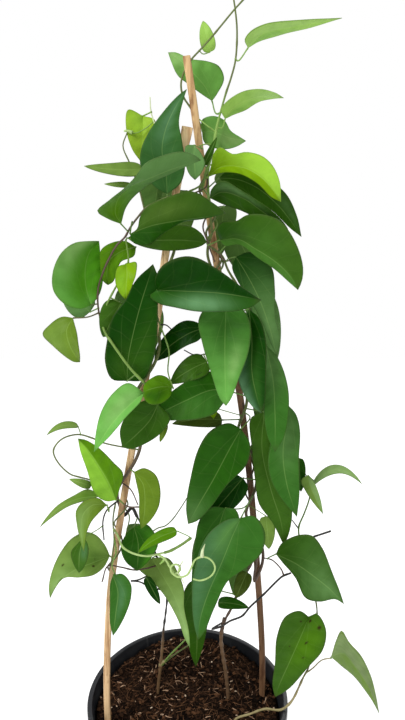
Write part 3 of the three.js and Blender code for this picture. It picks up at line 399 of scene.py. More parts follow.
LEFT_STEMS = (
    Stem(STEM_RADIUS, Bark.GREEN, ((172, 196, -19), (168, 180, -13), (163, 155, -8), (155, 125, -4),
        (151, 112, -2), (150, 97, -2)), thin=0.5, end=Bark.BUD),
    Stem(0.5, Bark.LIGHT, ((153, 120, -4), (146, 128, -5), (136, 133, -6), (129, 132, -6))),
    Stem(1.7, Bark.YOUNG, ((131, 133, -6), (128, 131, -6), (124, 131, -6)), thin=0.4),
    Stem(STEM_RADIUS, Bark.OLIVE, ((176, 196, -20), (168, 197, -22), (160, 200.5, -21), (146, 208, -21),
        (138, 217, -22), (130, 228, -24), (125, 237, -26), (117, 245, -26), (110, 257, -25),
        (104, 270, -25), (98, 290, -25), (99, 313, -27), (103, 325, -31)), thin=0.85, end=Bark.UMBER),
    Stem(1.15, Bark.SHOOT, ((101, 316, -29), (105, 332, -40), (112, 343, -48), (130, 368, -52),
        (146, 385, -52), (152, 394, -38), (148, 400, -30)), thin=1.0),
    Stem(0.9, Bark.SHOOT, ((103, 326, -35), (104, 314, -36), (107, 304, -36), (112, 294, -35),
        (118, 283, -29), (128, 264, -27), (126, 240, -26))),
    Stem(TWIG_RADIUS, Bark.OLIVE, ((145, 208, -21), (140, 192, -16), (130, 164, -12), (123, 146, -12),
        (127, 133, -12))),
    Stem(0.8, Bark.UMBER, ((161, 306, -26), (160, 325, -29), (165, 338, -30), (169, 352, -30),
        (168, 372, -31), (173, 388, -32)), end=Bark.GREEN),
    Stem(TWIG_RADIUS, Bark.BLACK, ((160, 323, -29), (166, 325, -28), (171, 329, -26))),
    Stem(TWIG_RADIUS, Bark.OLIVE, ((128, 447, -34), (104, 443, -42), (92, 438, -46), (78, 434.5, -50),
        (62, 439, -52), (53.5, 450, -52), (57, 461, -50), (70, 474, -46), (79, 477, -44), (90, 480, -42),
        (104, 490, -40), (119, 500, -36)), thin=1.0),
    Stem(TWIG_RADIUS, Bark.GREY, ((150, 536, -17), (158, 528, -18), (165, 526, -18), (172, 520, -17),
        (180, 509, -15), (187, 498, -12))),
    Stem(1.0, Bark.SHOOT, ((160, 666, 11), (170, 655, 8), (178, 647, 5), (187, 638, 2))),
    Stem(0.85, Bark.OLIVE, ((160, 668, 11), (174, 655, 10), (189, 645, 7))),
    Stem(2.4, Bark.WOOD, ((158, 666, 11), (161, 663, 11), (165, 661, 10)), thin=0.5, end=Bark.TAN),
    Stem(0.85, Bark.LIGHT, ((117, 504, -34), (128, 506.5, -38), (139, 507, -40)), end=Bark.UMBER),
    Stem(TWIG_RADIUS, Bark.UMBER, ((125, 488, -36), (131, 490, -40), (138, 505, -42))),
    Stem(0.8, Bark.BLACK, ((119, 500, -37), (107, 510, -42), (103, 521, -42), (104, 540, -40))),
    Stem(0.8, Bark.UMBER, ((160, 566, -11), (148, 568, -22), (135, 570, -30), (120, 567, -40),
        (108, 566, -42), (102, 582, -42))),
    Stem(0.9, Bark.BLACK, ((166, 590, -3), (150, 587, -14), (140, 582, -20), (131, 581, -24))),
    Stem(0.9, Bark.BLACK, ((131, 582, -24), (138, 580, -24), (147, 576, -20))),
    Stem(0.75, Bark.OLIVE, ((116, 502, -36), (113, 520, -34), (114, 540, -40), (112, 558, -42),
        (109, 570, -38))),
    Stem(0.75, Bark.GREEN, ((127, 500, -24), (129, 515, -22), (127, 530, -22), (124, 542, -26))),
    Stem(0.8, Bark.GREEN, ((119, 540, -42), (116, 552, -44), (112, 566, -42), (115, 574, -43))),
    Stem(1.05, Bark.YOUNG, ((116, 528, -37), (118, 536, -44), (122, 546, -48), (130, 552, -51),
        (145, 556, -54), (158, 554, -57), (170, 551, -60), (181, 545, -62), (190, 539, -60))),
    Stem(1.0, Bark.YOUNG, ((158, 555, -57), (165, 559, -60), (170, 567, -62), (175, 573.5, -64),
        (180, 570, -66), (178, 564.8, -67), (172, 565.5, -67), (171, 571, -67), (178, 577, -69),
        (187, 575, -71), (192, 566, -72), (195, 560, -72), (201, 557, -72), (208, 558, -72),
        (213.5, 563, -72), (215, 569, -72), (212, 575, -72), (207, 578.5, -72), (200, 580.5, -72),
        (193, 579, -72))),
    Stem(1.3, Bark.SHOOT, ((163, 553, -58), (170, 551, -60), (181, 545, -62), (191, 538, -60)), thin=0.9),
    Stem(1.5, Bark.YOUNG, ((168, 557, -59), (164, 560, -59), (160, 564, -58)), thin=0.4, end=Bark.LIGHT),
    Stem(0.9, Bark.BUD, ((177, 573, -65), (180, 566, -65), (183, 561, -66)), thin=0.4),
    Stem(0.9, Bark.BUD, ((177, 574, -66), (181, 578, -68), (184, 583, -68)), thin=0.3),
    Stem(1.9, Bark.BUD, ((200, 557, -72), (202.5, 551, -72), (205, 544, -71)), thin=0.15),
)
RIGHT_STEMS = (
    Stem(1.2, Bark.OLIVE, ((205, 189, -5), (208, 172, -5), (213, 150, -5), (216, 131, -4),
        (219, 118, -4)), thin=1.0, end=Bark.LIGHT),
    Stem(STEM_RADIUS, Bark.LIGHT, ((216, 131, -4), (219, 118, -4), (226, 93, -4), (231, 78, -4),
        (235.5, 60, -4), (237, 30, -4), (235, 8, -4), (232, -10, -4)), end=Bark.OLIVE),
    Stem(STEM_RADIUS, Bark.LIGHT, ((212, 152, -5), (207, 140, 8), (198, 120, 9), (190, 107, 8),
        (183, 96, 4), (181, 85, 2), (184, 72, 6), (191, 60, 6), (200, 50, 3), (210, 39, 0), (220, 27, -6),
        (234, 10, -10), (243, 0, -10), (249, -7, -10)), end=Bark.OLIVE),
    Stem(1.1, Bark.OLIVE, ((217, 246, 2), (222, 256, -1), (228, 270, -3), (240, 290, -3), (254, 320, 0),
        (264, 348, 4), (274, 380, 6), (282, 410, 6), (283, 432, 6), (279, 455, 6))),
    Stem(TWIG_RADIUS, Bark.BLACK, ((251, 330, 1), (240, 345, -6), (215, 352, -12), (195, 355, -14),
        (184, 350, -16))),
    Stem(1.0, Bark.BLACK, ((223, 621, 4), (212, 629, 2), (222, 626, -2), (230, 621, -4), (242, 616, -4),
        (250, 607, -4), (262, 596, -2), (270, 588, -2), (278, 580, -1), (283, 576, 0), (291, 573, 2)),
        thin=1.0),
    Stem(0.8, Bark.UMBER, ((283, 577, 0), (281, 569, 1), (272, 560, 2), (264, 558, 2))),
    Stem(2.2, Bark.RED, ((222, 634, 5), (222.5, 625, 4), (224, 618, 3)), thin=0.6, end=Bark.UMBER),
    Stem(0.7, Bark.LIGHT, ((212, 131, -6), (205, 124, -4), (199, 119, 2))),
    Stem(0.7, Bark.LIGHT, ((212, 144, -6), (206, 144, -8), (200, 146, -9))),
    Stem(0.9, Bark.OLIVE, ((207, 175, -7), (201, 185, -9), (190, 191, -10), (178, 195, -10),
        (170, 198, -12)), end=Bark.GREEN),
    Stem(0.75, Bark.UMBER, ((217, 178, -7), (206, 187, -10), (194, 193, -12), (176, 197, -12))),
    Stem(1.2, Bark.OLIVE, ((214, 142, -8), (211, 156, -9), (207, 168, -9), (204, 180, -8),
        (201, 192, -6)), thin=0.9, end=Bark.GREEN),
    Stem(0.8, Bark.UMBER, ((201, 212, -4), (203, 226, -5), (207, 240, -5), (211, 252, -5),
        (215, 262, -4))),
    Stem(0.7, Bark.UMBER, ((219, 250, -2), (224, 260, -4), (231, 261, -6))),
    Stem(0.5, Bark.GREY, ((268, 466, 2), (280, 468, 4), (287, 473, 6), (297, 475, 8))),
)
TRAILING_STEMS = (
    Stem(STEM_RADIUS, Bark.UMBER, ((303, 556, 12), (299, 536, 12), (299, 526, 12), (304, 514, 12),
        (309, 500, 12), (313, 480, 12)), end=Bark.GREEN),
    Stem(TWIG_RADIUS, Bark.TAN, ((303, 672, -12), (313, 668, -14), (322, 660, -17), (331, 658, -18))),
    Stem(TWIG_RADIUS, Bark.BLACK, ((299, 528, 12), (292, 520, 11))),
    Stem(0.9, Bark.BLACK, ((300, 545, 12), (306, 540, 12), (313, 537, 11), (322, 534, 10), (331, 531, 9)),
        thin=1.2),
)

LEFT_TOP_LEAVES = (
    Leaf((143, 116, 4), (141, 162, 2), 34, Tone.YELLOW, painted_light=(PaintedLight(0.15, 0.4,
        Tone.LIME, 0.3, 0.5, 0.6),), trace=Trace(((143, 130), (142, 146)), ((155, 120), (152, 138),
        (147, 153)), ((128, 110), (126, 128), (132, 149)))),
    Leaf((167, 194, -23), (187, 89, -21), 38, Tone.BLUE, painted_light=(PaintedLight(0.7, -0.1,
        Tone.STEEL, 0.25, 0.5, 0.7),), trace=Trace(((166, 172), (162, 150), (166, 128), (176, 106)),
        ((155, 187), (141, 168), (141, 150), (150, 130), (168, 106), (181, 93)), ((180, 184), (185, 168),
        (182, 140), (179, 122), (184, 98)))),
    Leaf((130, 234, -39), (226, 213, -34), 40, Tone.MOSS, right=Tone.DARK, roll=-30, arch=9,
        via=((132, 222, -33),), painted_light=(PaintedLight(0.4, -0.5, Tone.SAGE, 0.25, 0.4, 0.4),),
        trace=Trace(((150, 226), (175, 221), (205, 217)), ((137, 229), (140, 217), (148, 206), (170, 196),
        (193, 192), (212, 202)), ((133, 242), (148, 245), (163, 234), (182, 222), (203, 219)))),
    Leaf((127, 238, -29), (207, 242, -27), 34, Tone.MOSS, roll=-22, trace=Trace(((150, 240), (180, 240)),
        ((140, 231), (165, 226), (190, 226), (202, 234)), ((138, 245), (160, 250), (185, 250),
        (201, 246)))),
    Leaf((121, 224, -40), (201, 160, -38), 48, Tone.GREY, roll=-35, arch=9, painted_light=(PaintedLight(0.1, 0.0,
        Tone.OLIVE, 0.24, 1.4, 1.0),), trace=Trace(((115, 213), (118, 199), (128, 188), (150, 178),
        (175, 168)), ((108, 219), (97, 211), (110, 200), (123, 190), (135, 177), (145, 163), (165, 155),
        (184, 152), (196, 156)), ((126, 208), (133, 197), (148, 185), (168, 175), (187, 166)))),
    Leaf((143, 169, -16), (84, 166, -30), 15, Tone.SAGE, roll=40, arch=1, sway=-3),
    Leaf((131, 185, -14), (104, 184, -14), 5, Tone.SAGE),
    Leaf((160, 168, 4), (152, 226, 26), 34, Tone.DARK, back=True),
    Leaf((176, 190, 0), (182, 243, 26), 32, Tone.MOSS, roll=12, back=True),
)
LEFT_MIDDLE_LEAVES = (
    Leaf((157, 290, -46), (261, 300, -58), 60, Tone.DEEP, right=Tone.DARK, roll=-28, arch=6, fold=20,
        via=((164, 288, -37),), painted_light=(PaintedLight(0.48, 0.6, Tone.SHEEN, 0.22, 0.45, 0.6),),
        trace=Trace(((185, 291), (220, 293), (247, 297)), ((155, 279), (163, 265), (180, 257), (196, 258),
        (222, 272), (243, 288)), ((150, 296), (159, 304), (178, 308), (206, 312), (235, 311),
        (253, 306)))),
    Leaf((91, 305, -28), (99, 241, -8), 55, Tone.FRESH, roll=-32, fold=22, bark=Bark.UMBER,
        painted_light=(PaintedLight(0.75, -0.8, Tone.WAN, 0.3, 0.4, 0.7), PaintedLight(0.4, -0.9,
        Tone.SPRING, 0.35, 0.35, 0.7), PaintedLight(0.05, 0.2, Tone.SPRING, 0.12, 0.8, 0.5)),
        trace=Trace(((86, 288), (85, 270), (89, 253)), ((80, 309), (66, 305), (54, 291), (53, 272),
        (61, 253), (74, 243), (89, 241)), ((98, 297), (102.5, 282), (102, 266), (100, 251)))),
    Leaf((136, 247, -18), (108, 285, -18), 34, Tone.OLIVE, trace=Trace(((122, 251), (110, 260),
        (107, 273)), ((134, 256), (121, 262), (117, 272), (113, 282)), ((125, 241), (111, 243),
        (101, 250), (100, 264), (103, 281)))),
    Leaf((126, 264, -31), (126, 300, -37), 18, Tone.GOLD, painted_light=(PaintedLight(0.5, 0.5,
        Tone.BRIGHT, 0.4, 0.5, 0.5),), trace=Trace(((127, 275), (126, 288)), ((136, 262), (136, 274),
        (132, 286), (128, 296)), ((118, 267), (115, 280), (119, 292)))),
    Leaf((90, 312, -10), (62, 287, 2), 26, Tone.GREY),
    Leaf((73, 318, -30), (80, 362, -38), 48, Tone.DRAB, roll=42, fold=30, via=((88, 317, -30),),
        painted_light=(PaintedLight(0.5, 0.6, Tone.SAGE, 0.3, 0.6, 0.7),), bark=Bark.UMBER, trace=Trace(((67, 330),
        (69, 343), (75, 355)), ((76, 330), (78, 343), (80, 355)), ((62, 317), (50, 325), (43, 334),
        (53, 346), (64, 356), (74, 362)))),
    Leaf((121, 303, -31), (103, 337, -33), 26, Tone.MOSS),
    Leaf((127, 381, -42), (153, 264, -35), 46, Tone.DEEP, arch=3, painted_light=(PaintedLight(0.12, -0.2,
        Tone.MOSS, 0.2, 0.6, 0.6), PaintedLight(0.3, 0.6, Tone.MOSS, 0.3, 0.4, 0.4)), trace=Trace(((128, 360),
        (134, 330), (142, 300), (149, 278)), ((112, 379), (105, 362), (107, 340), (112, 318), (126, 299),
        (136, 280)), ((143, 380), (153, 361), (157, 340), (158, 305), (158, 277)))),
    Leaf((138, 285, 2), (124, 352, 26), 36, Tone.DARK, roll=-12, back=True),
    Leaf((146, 300, 0), (138, 374, 22), 36, Tone.MOSS, roll=10, back=True),
)
LEFT_WAIST_LEAVES = (
    Leaf((144, 393, -54), (94, 452, -72), 30, Tone.SPRING, roll=18, arch=7, fold=18,
        painted_light=(PaintedLight(0.35, 0.3, Tone.WAN, 0.3, 0.4, 0.4),), trace=Trace(((135, 400), (115, 420),
        (103, 437)), ((141, 401), (127, 416), (110, 436), (99, 447)), ((128, 383), (113, 393), (102, 410),
        (96, 432)))),
    Leaf((172, 387, -36), (143, 392, -60), 26, Tone.OLIVE, roll=20, painted_light=(PaintedLight(0.6, -0.5,
        Tone.DARK, 0.4, 0.5, 0.8),), trace=Trace(((160, 387), (151, 389)), ((170, 396), (160, 404),
        (150, 404), (144, 398)), ((168, 378), (159, 375), (150, 379), (144, 385)))),
    Leaf((158, 404, -38), (122, 447, -46), 36, Tone.SHADE, painted_light=(PaintedLight(0.2, -0.5,
        Tone.MOSS, 0.3, 0.5, 0.6),), trace=Trace(((150, 420), (136, 435)), ((170, 418), (161, 433),
        (143, 445), (130, 449)), ((143, 401), (128, 413), (120, 430)))),
    Leaf((116, 500, -44), (78, 438.5, -46), 29, Tone.BRIGHT, right=Tone.OLIVE, roll=-10,
        trace=Trace(((108, 482), (98, 465), (87, 449)), ((106, 501), (95, 494), (87, 470), (80, 450)),
        ((120, 488), (123, 473), (114, 463), (99, 448), (86, 440)))),
    Leaf((91, 486, -42), (69, 479, -44), 8, Tone.SAGE, fold=5),
    Leaf((101, 496, -46), (40, 527, -66), 14, Tone.SAGE, roll=50, painted_light=(PaintedLight(0.1, 0.0,
        Tone.OLIVE, 0.4, 1.0, 0.6),), trace=Trace(((78, 499), (58, 509)), ((88, 500), (67, 507),
        (51, 518)), ((88, 489), (73, 496), (57, 506), (46, 518)))),
    Leaf((107, 505, -57), (84, 552, -70), 20, Tone.DRAB, roll=12, arch=6, via=((109, 512, -48),),
        painted_light=(PaintedLight(0.6, 0.2, Tone.MIST, 0.35, 0.8, 0.6),), trace=Trace(((93, 505), (84, 513),
        (81, 526)), ((100, 512), (92, 521), (87, 532), (85, 544)), ((98, 498), (84, 501), (76, 511),
        (77, 525), (81, 543)))),
    Leaf((134, 472, -40), (141, 529, -42), 22, Tone.DRAB, trace=Trace(((143, 484), (145, 500),
        (144, 516)), ((144, 468), (155, 474), (160, 487), (159, 506), (150, 521)), ((136, 482),
        (139, 496), (139, 515)))),
    Leaf((78, 426, -50), (47, 435, -56), 10, Tone.SAGE, roll=50, via=((80, 432, -50),)),
    Leaf((150, 388, -4), (146, 440, 16), 30, Tone.DARK, back=True),
)
LEFT_LOW_LEAVES = (
    Leaf((84, 537, -58), (79, 573, -64), 16, Tone.MOSS, arch=3, via=((97, 530, -48),),
        painted_light=(PaintedLight(0.4, -0.5, Tone.STEEL, 0.2, 0.4, 0.5),), trace=Trace(((80, 551), (79, 563)),
        ((88, 545), (88, 557), (83, 569)), ((78, 543), (71, 552), (74, 565)))),
    Leaf((110, 556, -38), (50, 598, -50), 36, Tone.SAGE, roll=22, arch=8, fine=2,
        spots=((0.26, -0.3, 1.4), (0.3, 0.5, 1.1), (0.22, 0.1, 0.9), (0.62, 0.5, 1.2), (0.85, -0.3, 1.0)),
        painted_light=(PaintedLight(0.3, 0.1, Tone.MOSS, 0.28, 0.4, 0.65), PaintedLight(0.85, 0.0, Tone.MIST, 0.25, 0.8, 0.7)),
        trace=Trace(((95, 562), (75, 570), (59, 582)), ((104, 567), (94, 575), (80, 577.5), (64, 578),
        (56, 587)), ((105, 545), (96, 535), (86, 532), (72, 538), (60, 553), (52, 572), (49, 588)))),
    Leaf((113, 575, -44), (113, 636, -48), 24, Tone.LEAF, roll=-8, painted_light=(PaintedLight(0.4, -0.3,
        Tone.STEEL, 0.3, 0.3, 0.5),), trace=Trace(((118, 592), (116, 612)), ((122, 574), (131, 584),
        (131, 598), (125, 616), (118, 629)), ((110, 585), (110, 605), (110, 623)))),
    Leaf((146, 577, -26), (160, 604, -28), 10, Tone.DEEP),
    Leaf((134, 527, -32), (137, 571, -36), 34, Tone.DARK, painted_light=(PaintedLight(0.6, -0.8,
        Tone.FRESH, 0.4, 0.3, 0.5),), trace=Trace(((138, 542), (138, 558)), ((146, 524), (154, 532),
        (158, 545), (148, 562)), ((126, 534), (121, 548), (126, 562)))),
    Leaf((177, 531, -60), (138, 553, -60), 13, Tone.OLIVE, roll=35, via=((188, 536, -60),)),
    Leaf((152, 558, -12), (190, 648, -16), 26, Tone.SAGE, painted_light=(PaintedLight(0.85, 0.0,
        Tone.WAN, 0.4, 1.2, 0.7),), trace=Trace(((164, 578), (175, 598), (184, 624)), ((168, 558),
        (178, 573), (184, 590), (184, 607), (189, 632)), ((137, 566), (151, 580), (166, 598), (178, 620),
        (185, 639)))),
    Leaf((138, 524, -8), (136, 566, 8), 24, Tone.DARK, back=True),
    Leaf((166, 424, -30), (160, 442, -32), 6, Tone.DRAB),
)
RIGHT_TOP_LEAVES = (
    Leaf((210, 52, 8), (203, 21, 10), 13, Tone.PALE, via=((203, 54, 6),)),
    Leaf((212, 101, 19), (168, 52.5, 21), 44, Tone.JADE, roll=12, arch=3, fold=16, via=((217, 114, -3),),
        painted_light=(PaintedLight(0.95, 0.0, Tone.WAN, 0.25, 1.2, 0.7),), trace=Trace(((205, 87), (190, 70),
        (177, 58)), ((203, 95), (188, 84), (178, 76), (171, 61)), ((217, 94), (224, 79), (219, 66),
        (207, 61), (190, 59), (176, 52.5)))),
    Leaf((248, 48, -6), (342, 18, -16), 26, Tone.PALE, roll=-62, arch=2, fold=24, via=((238, 61, -4),),
        painted_light=(PaintedLight(0.2, 0.5, Tone.JADE, 0.3, 0.5, 0.5),), trace=Trace(((262, 34), (290, 27),
        (320, 22)), ((244.5, 40), (250, 32), (264, 25), (282, 21), (312, 19.5)), ((260, 41), (280, 35),
        (305, 29)))),
    Leaf((225, 119, -6), (284, 98, -8), 20, Tone.PALE, roll=-25, arch=6, via=((222, 128, -5),),
        painted_light=(PaintedLight(0.85, 0.0, Tone.WAN, 0.3, 1.0, 0.7), PaintedLight(0.2, 0.6, Tone.JADE, 0.3, 0.4, 0.5)),
        trace=Trace(((232, 109), (247, 100), (264, 96)), ((221, 110), (230, 99), (244, 91), (260, 89),
        (276, 93)), ((233, 115), (246, 110), (259, 102), (272, 99)))),
    Leaf((202, 131, 8), (246, 141, 8), 34, Tone.JADE, fold=5, painted_light=(PaintedLight(0.7, 0.2,
        Tone.MIST, 0.4, 0.8, 0.8),), trace=Trace(((214, 132), (230, 138)), ((202, 120), (213, 116),
        (224, 120), (231, 131), (240, 137)), ((204, 142), (214, 148), (228, 149), (238, 146)))),
    Leaf((208, 177, -10), (281, 202, -34), 38, Tone.LIME, roll=-8, arch=13, right=Tone.GOLD,
        painted_light=(PaintedLight(0.08, 0.0, Tone.GOLD, 0.38, 1.8, 1.0),), trace=Trace(((221, 167), (242, 167),
        (261, 177), (273, 190)), ((211, 166), (214, 153), (220, 147), (233, 154), (246, 152), (262, 156),
        (273, 166), (280, 183)), ((221, 173), (240, 174), (258, 184), (271, 197)))),
    Leaf((194, 145, -26), (195, 180, -27), 17, Tone.GREY, arch=3, via=((203, 149, -14),),
        trace=Trace(((194, 157), (195, 169)), ((201, 153), (205, 164), (200, 175)), ((186, 146),
        (185, 160), (189, 174)))),
    Leaf((219, 178, -6), (301.5, 237, -14), 34, Tone.SHADE, roll=-22, arch=6, via=((209, 187, -6),),
        painted_light=(PaintedLight(0.7, -0.5, Tone.GREY, 0.2, 0.4, 0.5),), trace=Trace(((236, 179), (256, 187),
        (276, 203), (291, 221)), ((227, 171), (248, 172), (270, 181), (287, 195), (297, 216)),
        ((228, 185), (247, 196), (270, 209), (290, 228)))),
    Leaf((210, 198, -20), (288, 229, -38), 28, Tone.SHADE, roll=-35, arch=8, painted_light=(PaintedLight(0.35, -0.6,
        Tone.GREY, 0.3, 0.35, 0.7),), trace=Trace(((222, 192), (243, 198), (262, 211), (276, 221)),
        ((211, 190), (222, 181), (240, 190), (257, 200), (272, 211), (284, 223)), ((220, 203), (240, 210),
        (262, 222), (277, 228)))),
    Leaf((220, 240, -16), (298, 290, -32), 48, Tone.MOSS, right=Tone.MID, roll=-22, arch=12,
        painted_light=(PaintedLight(0.05, -0.6, Tone.DARK, 0.2, 0.6, 0.8), PaintedLight(0.45, -0.3, Tone.MID, 0.2, 0.4, 0.7)),
        trace=Trace(((238, 239), (256, 249), (276, 262), (291, 277)), ((217, 230), (222, 222), (236, 221),
        (248, 214.5), (265, 215), (281, 222), (296, 243), (303, 266), (302, 281)), ((225, 246),
        (240, 245), (258, 258), (274, 269), (289, 282)))),
    Leaf((204, 165, -10), (217, 137, -9), 6, Tone.SHADE),
    Leaf((221, 168, 13), (256, 200, 32), 28, Tone.MOSS, back=True),
    Leaf((224, 206, 18), (222, 254, 42), 28, Tone.MOSS, roll=-10, back=True),
)
RIGHT_MIDDLE_LEAVES = (
    Leaf((236, 257, -8), (277, 357, -16), 37, Tone.DEEP, via=((228, 259, -3),), painted_light=(PaintedLight(0.78, 0.0,
        Tone.GREY, 0.42, 1.4, 1.0),), trace=Trace(((247, 275), (261, 303), (271, 332)), ((250, 252),
        (271, 266), (275, 290), (275, 315), (280, 338)), ((232, 266), (237, 280), (250, 300), (262, 323),
        (271, 344)))),
    Leaf((256, 290, 6), (277, 360, 3), 30, Tone.GREY),
    Leaf((205, 328, -16), (154, 362, -12), 24, Tone.DEEP, roll=25, trace=Trace(((190, 333), (170, 346)),
        ((200, 339), (186, 346), (168, 357)), ((196, 322), (184, 321), (170, 330), (157, 347)))),
    Leaf((207, 362, -16), (170, 384, -22), 24, Tone.MOSS, roll=20),
    Leaf((226, 309, -27), (226, 406, -46), 47, Tone.LEAF, painted_light=(PaintedLight(1.0, 0.0,
        Tone.SPRING, 0.5, 1.5, 0.9), PaintedLight(0.25, 0.0, Tone.DARK, 0.2, 0.5, 0.5), PaintedLight(0.6, -0.45,
        Tone.WAN, 0.16, 0.3, 0.35)), trace=Trace(((225, 335), (225, 372)), ((241, 308), (250, 323),
        (249, 350), (239, 378), (231, 399)), ((208, 306), (198.5, 320), (202, 342), (211, 373),
        (220, 399)))),
    Leaf((249, 309, -24), (262, 413, -34), 36, Tone.DEEP, roll=-15, via=((235, 314, -15),),
        painted_light=(PaintedLight(0.75, 0.9, Tone.STEEL, 0.35, 0.5, 1.0), PaintedLight(0.7, -0.2, Tone.LEAF, 0.3, 0.4, 0.7)),
        trace=Trace(((252, 340), (252, 372), (257, 397)), ((259, 318), (266, 340), (266, 370),
        (265, 398)), ((240, 328), (239, 352), (238, 378), (244, 395), (255, 409)))),
    Leaf((266, 345, -12), (275, 452, -30), 32, Tone.LEAF, via=((258, 348, -4),), painted_light=(PaintedLight(0.1, 0.0,
        Tone.GREY, 0.3, 1.2, 0.8),), trace=Trace(((273, 380), (275, 415)), ((278, 358), (287, 382),
        (289, 408), (284, 437)), ((262, 360), (265, 387), (264, 415), (268, 438)))),
    Leaf((232, 392, -18), (150, 417, -38), 40, Tone.DARK, left=Tone.LEAF, roll=18,
        painted_light=(PaintedLight(0.75, -0.5, Tone.MID, 0.3, 0.5, 0.6),), trace=Trace(((212, 390), (185, 401),
        (164, 411)), ((223, 404), (214, 414), (198, 419), (175, 420.5), (159, 420)), ((221, 376),
        (206, 371), (190, 379), (171, 392), (157, 406)))),
    Leaf((222, 420, -10), (172, 424, -16), 18, Tone.DULL, roll=25),
    Leaf((215, 408, -8), (206, 425, -6), 8, Tone.GOLD),
    Leaf((236, 234, 10), (266, 300, 32), 36, Tone.DARK, roll=8, back=True),
    Leaf((230, 312, 20), (228, 386, 44), 38, Tone.MOSS, back=True),
    Leaf((256, 318, 16), (264, 398, 36), 36, Tone.DARK, roll=10, back=True),
    Leaf((214, 384, 14), (180, 414, 26), 26, Tone.MOSS, back=True),
)
RIGHT_WAIST_LEAVES = (
    Leaf((264, 412, 0), (284, 546, -14), 40, Tone.MOSS, trace=Trace(((262, 450), (271, 490), (281, 522)),
        ((269, 438), (283, 475), (292, 508), (290, 530)), ((251, 418), (252, 450), (255, 480), (259, 504),
        (272, 522)))),
    Leaf((287, 404, 0), (297, 517, -22), 30, Tone.LEAF, painted_light=(PaintedLight(0.25, -0.3,
        Tone.GREY, 0.3, 0.7, 0.7),), trace=Trace(((286, 425), (283, 455), (287, 485)), ((296, 414),
        (300, 430), (299, 460), (299.5, 495)), ((280, 412), (274, 430), (268, 458), (271, 480),
        (281, 498)))),
    Leaf((241, 429, -14), (188, 524, -38), 44, Tone.DARK, via=((250, 417, -2),), painted_light=(PaintedLight(0.97, 0.0,
        Tone.GREY, 0.2, 1.2, 0.7),), trace=Trace(((229, 450), (213, 480), (199, 504)), ((250, 444),
        (247, 464), (228, 484), (211, 507), (197, 521)), ((229, 423), (210, 431), (198, 450), (190, 480),
        (186, 508)))),
    Leaf((243, 478, -8), (201, 527, -16), 26, Tone.DEEP),
    Leaf((266, 516, -6), (269, 549, -8), 16, Tone.SAGE),
    Leaf((270, 384, 18), (276, 462, 38), 36, Tone.DARK, roll=-8, back=True),
    Leaf((262, 440, 20), (280, 516, 40), 34, Tone.MOSS, roll=6, back=True),
    Leaf((232, 436, 20), (212, 508, 42), 38, Tone.DARK, back=True),
)
RIGHT_LOW_LEAVES = (
    Leaf((225, 508, -25), (195, 610, -30), 42, Tone.LEAF, via=((243, 508, -13), (233, 509, -22)),
        trace=Trace(((216, 535), (205, 572)), ((236, 510), (240, 530), (227, 562), (207, 594)),
        ((212, 507), (200, 519), (195, 540), (192, 570), (192, 596)))),
    Leaf((241, 518, -42), (198, 640, -62), 54, Tone.LEAF, right=Tone.BLUE, arch=8, via=((248, 504, -18),),
        painted_light=(PaintedLight(0.15, 0.4, Tone.JADE, 0.2, 0.35, 0.6), PaintedLight(0.5, 0.7, Tone.STEEL, 0.4, 0.5, 0.5)),
        trace=Trace(((233, 535), (222, 562), (208, 594), (200, 620)), ((254, 516), (265, 532), (262, 552),
        (246, 568), (228, 581), (214, 609), (205, 631)), ((229, 519), (212, 530), (202, 545), (194, 572),
        (192, 600), (194, 624)))),
    Leaf((202, 577, 9), (196, 667, 4), 30, Tone.SHADE, via=((214, 588, 6),), trace=Trace(((196, 605),
        (197, 640)), ((210, 592), (209, 615), (203, 647)), ((188, 584), (182, 603), (186, 631),
        (191, 655)))),
    Leaf((276, 554, -6), (344, 604, -28), 50, Tone.SHADE, roll=-22, arch=7, via=((268, 558, -1),),
        painted_light=(PaintedLight(0.8, 0.1, Tone.GREY, 0.4, 0.9, 0.8),), trace=Trace(((295, 563), (315, 577),
        (331, 590)), ((281, 544), (298, 535), (312, 535.5), (322, 548), (331, 569), (339, 589)),
        ((283, 563), (296, 579), (306, 598), (320, 602), (335, 599)))),
    Leaf((247, 572, -8), (236, 598, -12), 16, Tone.DULL),
    Leaf((218, 603, -6), (249, 608, -8), 13, Tone.DARK, roll=-20),
    Leaf((244, 520, 24), (234, 596, 46), 36, Tone.DARK, back=True),
    Leaf((210, 530, 14), (198, 600, 28), 28, Tone.MOSS, roll=-8, back=True),
)
TRAILING_LEAVES = (
    Leaf((299, 458, 14), (301, 492, 12), 12, Tone.DARK, via=((306, 475, 14),)),
    Leaf((308, 475, 4), (323, 514, -2), 15, Tone.MIST, right=Tone.SAGE, trace=Trace(((311, 487),
        (317, 501)), ((314, 482), (319, 494), (322, 506)), ((301, 480), (306, 492), (315, 505)))),
    Leaf((314, 484, 9), (362, 484, -6), 14, Tone.MIST, roll=-45, arch=10, sway=-10),
    Leaf((309, 617, -4), (275, 697, -26), 44, Tone.MOSS, fine=2, spots=((0.2, -0.75, 2.3),
        (0.09, -0.35, 1.9), (0.33, -0.3, 1.7), (0.5, -0.45, 1.1), (0.14, 0.4, 1.2), (0.42, 0.3, 1.0),
        (0.62, 0.1, 0.9)), painted_light=(PaintedLight(0.35, -0.4, Tone.OLIVE, 0.3, 0.6, 0.7),),
        trace=Trace(((301, 636), (289, 663), (280, 683)), ((317, 614), (326, 630), (323, 650), (308, 667),
        (290, 688)), ((300, 611), (285, 617), (277, 636), (275, 662), (272.5, 685)))),
    Leaf((331, 657, -18), (379, 713, -34), 40, Tone.SAGE, roll=-58, fold=26, painted_light=(PaintedLight(0.6, -0.5,
        Tone.DRAB, 0.4, 0.5, 0.7),), trace=Trace(((343, 653), (357, 669), (369, 688)), ((336, 641),
        (341, 631), (349, 642), (361, 655), (370, 675), (376, 696)), ((341, 665), (357, 680),
        (370, 697)))),
)


# Making meshes


